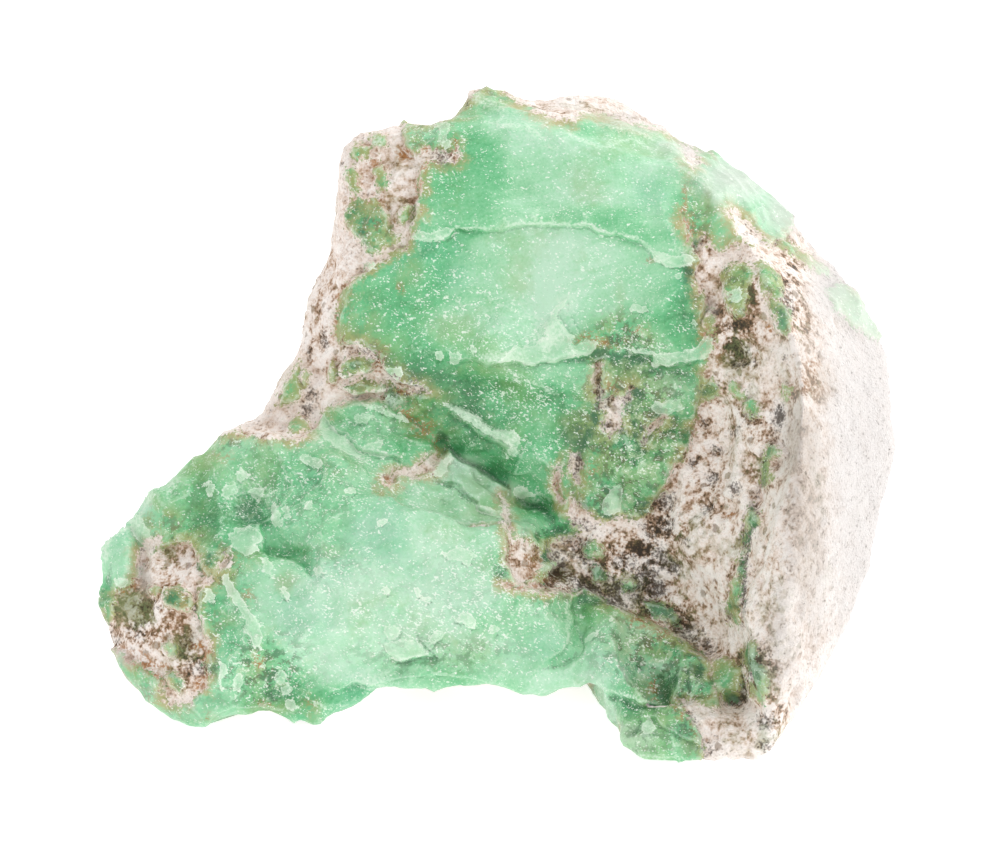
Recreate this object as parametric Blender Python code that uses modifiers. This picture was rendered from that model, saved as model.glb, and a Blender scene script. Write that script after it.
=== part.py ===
"""A raw variscite specimen: one solid stone, about 50 mm wide.

The stone is drawn as it was made. Convex blocks, each the hull of its corner points, are joined;
shell-shaped flakes are struck off them; the result is rounded, roughened and cut flat underneath.

Two frames are used, both in millimetres:
    the row frame   X to the right, Y to the back, Z up, with the origin under the stone's middle;
    the show face   the plane of the fresh green fracture, which leans back. A place on it is
                    (u, v, d): u to the right, v up the face and d out of it.
"""

import math
from typing import NamedTuple

import bmesh
import bpy
from mathutils import Matrix, Vector, noise

MM = 0.001

# Driving dimensions, in millimetres unless said otherwise
FACE_LEAN = math.radians(30.0)
FACE_CENTRE = Vector((0.07, -6.1, 16.2))
BODY_SHIFT = Vector((-0.08, 0.2, 0.0))
# The rest plane's cutter, and the edge length that the fused stone is rebuilt with
GROUND_SIZE = 70.0
VOXEL = 0.45
# Share of the rebuilt stone's triangles that is kept
KEPT_SHARE = 0.12
# Corners nearer than this, in metres, become one
SLIVER = 0.00004
# Half the height of a scar's ellipsoid, over the scar's depth, and how far its surface wanders
SCAR_ROUNDNESS = 3.0
SCAR_WAVINESS = 0.09
# Bumps over the whole surface: size across, and height from hollow to top, in millimetres
LUMPS = (7.0, 0.9)
GRAINS = (1.7, 0.34)

# Corner points of the blocks on the show face's side, as (u, v, d)
HEAD_FACE = (
    (-10.0, 17.8, -4.0), (-10.3, 14.8, -4.5), (-10.1, 12.6, -4.5), (-9.0, 18.6, -5.0),
    (-4.9, 18.4, -3.0), (-1.9, 19.4, -4.0), (1.9, 19.0, -2.5), (6.3, 17.3, -1.5),
    (11.9, 16.2, -1.5), (15.3, 11.8, 0.5), (2.5, 12.6, 0.6), (6.2, 4.9, 1.0),
    (-9.8, 8.4, -2.0), (-10.0, 5.3, -2.2), (-9.3, 3.1, -2.6), (12.5, 4.6, 0.0),
    (12.6, -4.8, -2.0), (6.3, -6.1, -4.0), (2.5, -4.2, -4.0), (-4.5, 19.2, -6.0),
    (4.0, 20.9, -10.5), (6.4, 21.0, -11.0), (8.8, 20.3, -11.0), (12.2, 18.6, -10.0),
    (15.4, 15.9, -9.0), (18.5, 13.9, -8.0), (21.2, 10.5, -7.0), (22.9, 7.6, -6.0),
)
PEAK_FACE = (
    (-2.8, 20.4, -7.0), (-2.3, 21.5, -8.0), (-1.4, 21.9, -8.5), (0.2, 21.2, -9.0),
    (2.4, 20.9, -10.0), (0.0, 19.5, -4.5), (-2.2, 19.2, -4.5), (3.5, 19.4, -6.0),
)
SHOULDER_FACE = (
    (-10.4, 11.4, -5.5), (-11.3, 9.6, -6.5), (-11.9, 8.1, -7.0), (-12.4, 5.9, -7.5),
    (-12.9, 4.3, -8.0), (-13.8, 2.8, -8.0), (-14.8, 1.3, -6.0), (-15.3, 0.5, -5.5),
    (-9.8, 8.4, -2.6), (-10.0, 5.3, -2.8), (-9.3, 3.1, -3.0), (-10.7, 1.5, -3.2),
    (-12.6, 0.6, -4.0), (-6.0, 1.0, -4.0), (-3.0, -2.0, -4.0),
)
CREST_FACE = (
    (12.6, 16.0, -3.0), (15.3, 11.8, 0.5), (16.4, 10.1, 2.5), (17.8, 5.8, 5.5),
    (18.3, 1.5, 7.5), (18.4, -2.8, 8.0), (18.0, -8.3, 8.0), (17.5, -13.2, 7.0),
    (16.9, -16.9, 6.5), (16.5, -20.5, 5.0), (17.9, -19.2, 4.0), (19.8, -15.9, 3.0),
    (21.9, -12.2, 2.0), (22.9, -8.5, 1.0), (24.2, -4.8, 0.0), (25.1, -1.6, -1.0),
    (25.0, 1.2, -2.0), (24.5, 5.0, -4.0), (23.0, 7.8, -6.0), (21.4, 10.6, -7.0),
    (10.1, 7.8, -3.0), (10.1, -3.5, -4.0), (10.8, -11.1, -4.5), (11.9, -17.3, -1.0),
    (12.4, -20.6, 3.0),
)
FOOT_FACE = (
    (-15.3, 0.5, -5.5), (-16.8, -0.3, -4.5), (-18.4, -1.0, -4.5), (-19.2, -1.8, -4.2),
    (-19.9, -2.5, -4.0), (-21.5, -4.0, -3.5), (-22.1, -4.8, -3.0), (-18.7, -19.0, 0.4),
    (-17.2, -18.6, 0.6), (-11.8, -18.8, 0.8), (5.6, -16.3, 1.0), (-12.6, -1.0, -1.5),
    (-6.2, -2.9, 0.0), (-1.2, -4.1, 0.6), (-4.3, -9.7, 2.8), (-9.3, -11.5, 3.0),
    (0.0, -11.6, 2.2), (-15.6, -8.5, 1.5), (-18.7, -14.1, 1.8), (-12.4, -17.2, 2.0),
    (-4.3, -15.6, 2.2), (3.7, -15.3, 1.5), (1.5, -17.0, 1.0),
)
TOE_FACE = (
    (-22.4, -5.6, -3.0), (-23.8, -6.4, -3.0), (-24.5, -7.1, -3.0), (-25.0, -8.0, -3.0),
    (-25.3, -10.8, -2.5), (-24.8, -13.6, -2.0), (-23.7, -15.3, -1.0), (-22.5, -16.8, -0.5),
    (-21.8, -17.6, -0.2), (-20.0, -18.7, 0.2), (-18.6, -19.1, 0.4), (-21.5, -9.5, 0.6),
    (-22.5, -13.0, 0.6), (-18.5, -10.0, 1.4), (-18.7, -15.5, 2.0), (-20.0, -6.5, -1.5),
)
CORE_FACE = (
    (1.0, -5.0, -3.0), (8.0, -4.0, -3.0), (14.0, -6.0, -1.5), (14.0, -14.0, -1.0), (8.0, -15.0, -0.5),
    (4.0, -13.5, -1.0), (2.0, -9.0, -1.5),
)
LOBE_FACE = (
    (5.3, -11.0, -1.0), (6.2, -14.7, 1.0), (6.4, -17.2, 1.5), (7.7, -19.9, 3.5),
    (9.0, -20.9, 4.0), (12.3, -20.9, 4.5), (14.8, -20.2, 5.0), (16.5, -20.5, 5.0),
    (10.0, -11.0, -1.0), (12.5, -14.7, 1.0), (9.3, -14.0, 2.5), (16.0, -17.0, 5.0),
)
# Corner points of the blocks behind and below, as (x, y, height over the ground)
HEAD_BACK = (
    (-4.5, 15.0, 26.8), (6.0, 17.0, 27.0), (13.0, 15.0, 24.0), (-9.0, 18.0, 18.0), (2.0, 21.0, 16.0),
    (14.0, 18.0, 15.0), (21.0, 10.0, 14.0), (-8.5, 16.0, 3.0), (-7.0, 11.0, -1.5), (2.0, 20.0, 1.5),
    (2.0, 15.0, -1.5), (13.0, 16.5, -1.0), (20.6, 7.5, 2.0), (16.0, 6.0, -1.5), (-10.6, 9.0, 13.0),
    (-12.5, 8.0, 3.0), (-8.0, -4.0, -1.0), (16.0, -8.0, -1.5),
)
PEAK_BACK = ((-1.5, 15.0, 28.0), (3.0, 15.0, 27.0), (0.0, 10.0, 24.0))
SHOULDER_BACK = (
    (-14.5, 2.0, 1.5), (-15.0, 6.0, 8.0), (-13.0, 8.0, 14.0), (-8.0, 8.0, 18.0), (-5.0, -4.0, -1.0),
    (-12.8, 9.0, 2.5), (-8.0, 5.0, -1.0),
)
TOE_BACK = ((-22.5, -5.0, -1.5), (-23.8, -7.0, 3.0), (-19.0, -14.0, -1.5), (-17.0, -3.0, -1.5), (-18.0, -2.0, 8.0))
CREST_BACK = (
    (13.0, 15.0, 24.0), (21.0, 10.0, 14.0), (20.6, 7.5, 2.0), (22.8, 0.0, 2.5), (20.2, -7.5, -1.0),
    (17.0, -14.0, -1.5), (12.0, -14.0, -1.5), (10.0, 0.0, -1.0), (17.0, 4.0, -1.5),
)
CORE_BACK = ((1.0, 0.0, 10.0), (14.0, 0.0, 12.0), (14.0, -12.0, 0.0), (4.0, -8.0, 0.0))
FOOT_BACK = (
    (-21.0, -5.0, 1.5), (-19.0, -13.0, -1.5), (-10.0, -13.0, -1.0), (4.0, -8.0, -0.5),
    (-15.0, 3.5, 1.5), (-15.0, 4.0, 11.0), (4.0, 4.0, -0.5), (4.0, 2.0, 12.0), (-23.0, -6.0, 4.0),
    (-14.0, -6.0, -1.5),
)
LOBE_BACK = (
    (8.0, -18.0, -1.5), (16.0, -18.5, -1.5), (17.0, -12.0, -1.5), (6.0, -9.0, -1.5), (6.0, -6.0, 8.0),
    (16.0, -6.0, 8.0),
)
BLOCKS = {
    "peak": (PEAK_FACE, PEAK_BACK),
    "shoulder": (SHOULDER_FACE, SHOULDER_BACK),
    "crest": (CREST_FACE, CREST_BACK),
    "foot": (FOOT_FACE, FOOT_BACK),
    "toe": (TOE_FACE, TOE_BACK),
    "core": (CORE_FACE, CORE_BACK),
    "lobe": (LOBE_FACE, LOBE_BACK),
}


def on_face(u, v, d):
    """The row-frame point, in metres, of a place on the show face in millimetres."""
    across = Vector((1, 0, 0))
    up = Vector((0, math.sin(FACE_LEAN), math.cos(FACE_LEAN)))
    out = Vector((0, -math.cos(FACE_LEAN), math.sin(FACE_LEAN)))
    return (FACE_CENTRE + across * u + up * v + out * d) * MM


def on_body(x, y, height):
    """The row-frame point, in metres, of a place behind or below the show face."""
    return (Vector((x, y, height)) + BODY_SHIFT) * MM


def clear_scene():
    """Start from an empty scene."""
    for obj in list(bpy.data.objects):
        bpy.data.objects.remove(obj)


def new_collection(name):
    """A collection under the scene's own."""
    made = bpy.data.collections.new(name)
    bpy.context.scene.collection.children.link(made)
    return made


def hull_block(name, face_points, back_points, collection):
    """The convex hull of a block's corner points, as an object."""
    mesh = bpy.data.meshes.new(name)
    shell = bmesh.new()
    for point in face_points:
        shell.verts.new(on_face(*point))
    for point in back_points:
        shell.verts.new(on_body(*point))
    made = bmesh.ops.convex_hull(shell, input=shell.verts)
    inside = set(made["geom_interior"]) | set(made["geom_unused"])
    bmesh.ops.delete(shell, geom=[v for v in inside if isinstance(v, bmesh.types.BMVert)], context="VERTS")
    bmesh.ops.recalc_face_normals(shell, faces=shell.faces)
    shell.to_mesh(mesh)
    shell.free()
    obj = bpy.data.objects.new(name, mesh)
    collection.objects.link(obj)
    return obj


class Scar(NamedTuple):
    """A shell-shaped hollow left by a struck flake.

    Its rim is an ellipse round the place, with the long side turned by spin from level. It faces
    an azimuth, from the front towards the right, and a height over the horizon, in degrees.
    """

    place: tuple
    half_length: float
    half_width: float
    depth: float
    azimuth: float
    height: float
    spin: float = 0.0


# Places on the show face, as (u, v, d)
FACE_SCARS = {
    "upper_band": Scar((1.0, 16.6, -0.8), 12.5, 5.2, 0.8, -8.0, 44.0, -6.0),
    "second_panel": Scar((1.2, 8.0, 0.2), 12.6, 5.6, 1.2, -8.0, 33.0, -2.0),
    "third_panel": Scar((-1.0, 0.6, -1.0), 10.0, 4.8, 1.4, -5.0, 10.0, -12.0),
    "groove": Scar((0.0, -3.4, -2.4), 5.8, 1.5, 2.2, 0.0, 46.0, -28.0),
    "inner_corner": Scar((8.6, 0.8, -0.2), 5.8, 4.2, 1.0, 6.0, 20.0, -74.0),
    "valley": Scar((9.4, -9.4, 0.4), 9.0, 3.0, 2.2, -16.0, 30.0, -44.0),
    "crest_inner": Scar((14.2, -3.0, 2.4), 12.0, 3.8, 0.9, -46.0, 24.0, -86.0),
    "foot_top": Scar((-16.4, -4.4, -0.8), 5.4, 3.4, 1.2, -9.0, 56.0, 24.0),
    "foot_corner": Scar((-20.6, -7.6, -0.6), 3.4, 2.6, 0.9, -30.0, 42.0, 60.0),
    "saddle": Scar((-7.6, -0.8, -1.4), 5.0, 2.2, 1.2, 0.0, 54.0, -14.0),
    "crescent": Scar((-13.0, -7.6, 1.5), 2.4, 1.2, 1.0, 0.0, 50.0, -34.0),
    "foot_bowl": Scar((-3.0, -8.0, 2.2), 9.0, 4.0, 0.8, 4.0, 42.0, -8.0),
    "foot_front": Scar((-9.0, -15.5, 2.2), 8.0, 3.2, 0.6, -4.0, 8.0, 2.0),
    "lobe_side": Scar((5.2, -20.6, 1.0), 3.6, 5.0, 1.6, -60.0, 0.0, 0.0),
    "toe_face": Scar((-23.0, -12.0, 0.7), 4.2, 3.0, 0.8, -28.0, 28.0, 60.0),
}
# Places over the ground, as (x, y, height)
BODY_SCARS = {
    "arch": Scar((-3.4, -15.4, -0.9), 10.2, 12.0, 2.6, 0.0, -76.0, 0.0),
    "underside": Scar((2.0, 2.0, -0.2), 14.0, 9.0, 2.0, 0.0, -90.0, 24.0),
    "back_left": Scar((-9.0, 16.4, 9.0), 12.0, 10.0, 1.8, 215.0, 10.0, 20.0),
    "back_middle": Scar((6.0, 20.2, 10.0), 9.0, 12.0, 1.5, 172.0, 6.0, 0.0),
    "back_top": Scar((1.0, 17.4, 21.6), 11.0, 7.0, 1.4, 186.0, 36.0, -10.0),
    "back_right": Scar((17.8, 13.0, 12.0), 12.0, 9.0, 1.5, 132.0, 14.0, 60.0),
    "left_flank": Scar((-12.9, 7.0, 14.0), 5.5, 4.5, 0.7, 284.0, 28.0, 40.0),
    "right_flank": Scar((22.4, 4.0, 8.0), 8.0, 6.0, 0.7, 104.0, 2.0, 70.0),
}


def strike(name, scar, place, collection):
    """The waved ellipsoid that leaves a scar when it is cut away."""
    cutter = bmesh.new()
    bmesh.ops.create_uvsphere(cutter, u_segments=48, v_segments=24, radius=1.0)
    for vert in cutter.verts:
        vert.co *= 1.0 + SCAR_WAVINESS * noise.noise(vert.co * 1.7 + Vector(scar.place))
    spread = math.sqrt(1.0 - (1.0 - 1.0 / SCAR_ROUNDNESS) ** 2)
    tall = SCAR_ROUNDNESS * scar.depth
    size = Vector((scar.half_length / spread, scar.half_width / spread, tall)) * MM
    bmesh.ops.scale(cutter, vec=size, verts=cutter.verts)
    facing = (
        Matrix.Rotation(math.radians(scar.azimuth), 4, "Z")
        @ Matrix.Rotation(math.radians(90.0 - scar.height), 4, "X")
        @ Matrix.Rotation(math.radians(scar.spin), 4, "Z")
    )
    centre = place + facing.to_3x3() @ Vector((0.0, 0.0, tall - scar.depth)) * MM
    bmesh.ops.transform(cutter, matrix=Matrix.Translation(centre) @ facing, verts=cutter.verts)
    return cutter_object(name, cutter, collection)


def cutter_object(name, shape, collection):
    """An object that only cuts: it is drawn as wires and isn't rendered."""
    mesh = bpy.data.meshes.new(name)
    shape.to_mesh(mesh)
    shape.free()
    cutter = bpy.data.objects.new(name, mesh)
    cutter.hide_render = True
    cutter.display_type = "WIRE"
    collection.objects.link(cutter)
    return cutter


def combine(stone, name, operation, collection):
    """Join or cut the stone with every object of a collection."""
    boolean = stone.modifiers.new(name, "BOOLEAN")
    boolean.operation = operation
    boolean.operand_type = "COLLECTION"
    boolean.collection = collection
    boolean.solver = "EXACT"


def roughen(stone, name, bumps):
    """Bumps of one size, pushed along the surface's normals."""
    size, height = bumps
    texture = bpy.data.textures.new(name, "CLOUDS")
    texture.noise_scale = size * MM
    texture.noise_depth = 1
    displace = stone.modifiers.new(name, "DISPLACE")
    displace.texture = texture
    displace.texture_coords = "LOCAL"
    displace.mid_level = 0.5
    displace.strength = height * MM


def ground_block(collection):
    """A slab under the stone: its top is the plane that the stone rests on."""
    slab = bmesh.new()
    bmesh.ops.create_cube(slab, size=GROUND_SIZE * MM)
    bmesh.ops.translate(slab, vec=(0.0, 0.0, -GROUND_SIZE * MM / 2), verts=slab.verts)
    cutter_object("ground", slab, collection)


def dress(stone):
    """A waxy green phosphate."""
    material = bpy.data.materials.new("variscite_waxy_green")
    material.use_nodes = True
    shader = material.node_tree.nodes["Principled BSDF"]
    shader.inputs["Base Color"].default_value = (0.25, 0.58, 0.34, 1.0)
    shader.inputs["Roughness"].default_value = 0.5
    shader.inputs["IOR"].default_value = 1.57
    stone.data.materials.append(material)


def main():
    """Build the stone."""
    clear_scene()
    stone_parts = new_collection("raw_variscite")
    blocks = new_collection("blocks")
    scars = new_collection("scars")
    ground = new_collection("ground")

    stone = hull_block("variscite_stone", HEAD_FACE, HEAD_BACK, stone_parts)
    for name, (face, back) in BLOCKS.items():
        block = hull_block(name, face, back, blocks)
        block.hide_render = True
        block.display_type = "WIRE"
    for name, scar in FACE_SCARS.items():
        strike(name, scar, on_face(*scar.place), scars)
    for name, scar in BODY_SCARS.items():
        strike(name, scar, on_body(*scar.place), scars)
    ground_block(ground)

    combine(stone, "join blocks", "UNION", blocks)
    combine(stone, "strike flakes", "DIFFERENCE", scars)
    remesh = stone.modifiers.new("round edges", "REMESH")
    remesh.mode = "VOXEL"
    remesh.voxel_size = VOXEL * MM
    smooth = stone.modifiers.new("wear", "SMOOTH")
    smooth.factor = 0.5
    smooth.iterations = 2
    roughen(stone, "lumps", LUMPS)
    roughen(stone, "grains", GRAINS)
    thin = stone.modifiers.new("thin out", "DECIMATE")
    thin.ratio = KEPT_SHARE
    combine(stone, "rest flat", "DIFFERENCE", ground)
    weld = stone.modifiers.new("close slivers", "WELD")
    weld.merge_threshold = SLIVER
    dress(stone)


main()
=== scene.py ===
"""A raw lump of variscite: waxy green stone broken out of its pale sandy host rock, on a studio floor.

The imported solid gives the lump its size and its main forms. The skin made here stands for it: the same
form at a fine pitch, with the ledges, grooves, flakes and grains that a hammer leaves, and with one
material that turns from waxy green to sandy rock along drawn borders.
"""

import itertools
import logging
import math
from dataclasses import dataclass
from enum import Enum
from typing import NamedTuple, Sequence

import bpy
import numpy as np
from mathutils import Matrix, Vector
from mathutils.kdtree import KDTree


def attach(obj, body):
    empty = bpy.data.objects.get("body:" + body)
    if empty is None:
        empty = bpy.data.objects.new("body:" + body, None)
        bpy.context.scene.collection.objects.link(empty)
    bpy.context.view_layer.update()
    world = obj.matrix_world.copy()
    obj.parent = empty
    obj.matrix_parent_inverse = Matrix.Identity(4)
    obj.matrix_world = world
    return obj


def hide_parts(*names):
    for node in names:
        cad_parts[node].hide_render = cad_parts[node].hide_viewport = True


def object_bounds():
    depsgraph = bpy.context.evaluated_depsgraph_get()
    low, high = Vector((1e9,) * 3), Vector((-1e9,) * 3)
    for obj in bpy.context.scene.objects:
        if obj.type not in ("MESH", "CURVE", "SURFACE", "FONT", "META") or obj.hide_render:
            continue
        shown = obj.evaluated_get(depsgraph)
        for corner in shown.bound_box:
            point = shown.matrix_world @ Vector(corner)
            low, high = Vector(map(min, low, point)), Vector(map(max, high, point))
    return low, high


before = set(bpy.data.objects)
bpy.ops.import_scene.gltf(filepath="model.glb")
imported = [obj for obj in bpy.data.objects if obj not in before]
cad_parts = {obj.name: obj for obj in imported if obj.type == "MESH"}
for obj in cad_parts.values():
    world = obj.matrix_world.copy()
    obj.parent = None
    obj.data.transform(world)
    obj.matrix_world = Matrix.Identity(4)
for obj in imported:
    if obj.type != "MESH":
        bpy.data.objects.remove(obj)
SOLID_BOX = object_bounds()

LOG = logging.getLogger("raw_variscite")

SOLID = "variscite_stone"
BODY = "root"

MM = 0.001
FACE_LEAN = math.radians(30)
FACE_CENTRE = np.array((0.07, -6.1, 16.2)) * MM
FACE_ACROSS = np.array((1.0, 0.0, 0.0))
FACE_UP = np.array((0.0, math.sin(FACE_LEAN), math.cos(FACE_LEAN)))
FACE_OUT = np.array((0.0, -math.cos(FACE_LEAN), math.sin(FACE_LEAN)))
VIEW_DISTANCE = 347.2 * MM

# The broken face is drawn on a chart that faces it, seen from VIEW_DISTANCE. Chart marks run right and
# down, 16 to the millimetre at the face's centre, which is mark (500, 424).
MARKS_PER_MM = 16.0
CHART_CENTRE = (500.0, 424.0)

Mark = tuple[float, float]
Patch = tuple[Mark, ...]

# Where the sandy host rock shows, by the name of each patch.
HOST_ROCK: dict[str, Patch] = {
    "crown_corner": ((326, 150), (332, 128), (350, 116), (404, 114), (403, 128), (407, 137), (406, 146),
        (414, 154), (428, 149), (443, 151), (450, 153), (459, 150), (461, 159), (448, 163), (432, 162),
        (423, 168), (419, 180), (421, 192), (417, 202), (416, 216), (411, 228), (411, 238), (406, 246),
        (397, 248), (389, 255), (385, 262), (370, 261), (366, 270), (354, 277), (345, 288), (339, 300),
        (337, 320), (336, 334), (344, 344), (362, 343), (372, 350), (378, 352), (384, 364), (392, 375),
        (404, 382), (424, 386), (432, 392), (418, 393), (402, 390), (390, 388), (384, 398), (370, 401),
        (352, 399), (338, 403), (322, 410), (317, 420), (313, 432), (302, 440), (280, 438), (262, 440),
        (246, 434), (232, 432), (215, 436), (225, 415), (270, 380), (295, 310)),
    "junction_sand": ((499, 496), (504, 500), (509, 514), (511, 528), (515, 540), (524, 541), (532, 547),
        (540, 553), (543, 561), (538, 570), (531, 577), (526, 584), (518, 585), (511, 573), (507, 561),
        (508, 546), (507, 534), (502, 520), (500, 508)),
    "cream_run": ((380, 480), (388, 477), (394, 470), (404, 465), (418, 465), (426, 457), (436, 455),
        (440, 460), (436, 469), (426, 475), (412, 479), (398, 478), (392, 486), (384, 487)),
    "rusty_lip": ((498, 583), (515, 584), (530, 582), (545, 582), (560, 586), (571, 590), (566, 594),
        (545, 590), (520, 589), (504, 588)),
    "stain_cream_a": ((596, 362), (601, 360), (602, 376), (605, 392), (600, 408), (596, 400), (593, 384)),
    "stain_cream_b": ((600, 398), (612, 396), (624, 400), (628, 386), (632, 384), (629, 402), (622, 412),
        (624, 432), (610, 436), (602, 428), (604, 414), (596, 404)),
    "stain_cream_c": ((573, 452), (580, 455), (583, 466), (578, 474), (581, 484), (573, 480), (568, 466)),
    "stain_cream_d": ((572, 497), (577, 494), (581, 506), (577, 514), (583, 522), (575, 524), (570, 508)),
    "stain_cream_e": ((553, 468), (560, 462), (560, 486), (566, 500), (560, 502), (555, 488)),
    "stain_cream_g": ((650, 424), (662, 414), (666, 417), (658, 427), (650, 434), (643, 446), (641, 440)),
    "east_ground": ((683, 214), (688, 226), (692, 238), (697, 246), (700, 236), (704, 231), (708, 238),
        (706, 246), (714, 248), (722, 251), (732, 247), (744, 242), (752, 246), (754, 240), (760, 246),
        (772, 243), (784, 241), (790, 232), (794, 214), (820, 190), (930, 190), (930, 640), (830, 760),
        (702, 772), (705, 752), (702, 738), (694, 724), (686, 712), (680, 702), (690, 699), (700, 704),
        (716, 706), (722, 700), (714, 690), (712, 676), (713, 664), (704, 656), (694, 648), (682, 640),
        (668, 632), (655, 623), (640, 615), (624, 611), (612, 606), (600, 597), (585, 590), (571, 594),
        (556, 590), (541, 581), (548, 574), (552, 564), (546, 555), (549, 545), (560, 538), (575, 536),
        (582, 530), (573, 524), (566, 514), (572, 504), (580, 508), (591, 513), (601, 521), (618, 519),
        (628, 519), (640, 517), (649, 511), (657, 502), (665, 491), (669, 478), (673, 468), (682, 462),
        (685, 450), (689, 441), (693, 431), (697, 419), (699, 408), (706, 401), (702, 392), (706, 382),
        (703, 372), (706, 362), (710, 350), (714, 338), (706, 336), (703, 326), (705, 310), (704, 297),
        (698, 288), (693, 278), (694, 270), (699, 262), (697, 250), (690, 240)),
    "top_sand": ((505, 92), (512, 88), (560, 84), (640, 90), (690, 130), (680, 138), (668, 134),
        (655, 129), (640, 124), (624, 122), (608, 117), (590, 113), (572, 119), (552, 120), (536, 112),
        (520, 104)),
    "top_shelf": ((682, 146), (690, 142), (698, 152), (700, 164), (692, 168), (684, 158)),
    "top_shelf_b": ((726, 212), (734, 208), (748, 224), (764, 238), (780, 250), (768, 254), (750, 246),
        (738, 234)),
    "dome_rim": ((138, 552), (146, 540), (157, 536), (160, 546), (152, 556), (146, 568), (142, 584),
        (128, 596), (116, 594), (132, 588), (139, 572)),
    "peak_rim": ((404, 122), (428, 119), (446, 111), (458, 102), (466, 90), (472, 82), (481, 85), (475, 96),
        (465, 106), (453, 115), (438, 121), (420, 126)),
    "left_end_sand": ((118, 592), (134, 588), (143, 568), (152, 553), (166, 550), (176, 545), (187, 541),
        (196, 552), (198, 562), (203, 576), (216, 579), (210, 584), (200, 588), (197, 596), (200, 606),
        (196, 613), (203, 622), (204, 634), (212, 640), (206, 655), (204, 664), (208, 684), (205, 692),
        (196, 700), (183, 704), (170, 703), (162, 690), (163, 678), (150, 672), (136, 664), (124, 656),
        (112, 650), (100, 640), (98, 622), (108, 612), (112, 600)),
    "wedge_sand": ((216, 562), (222, 558), (226, 553), (232, 556), (226, 566), (218, 572)),
}

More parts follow.
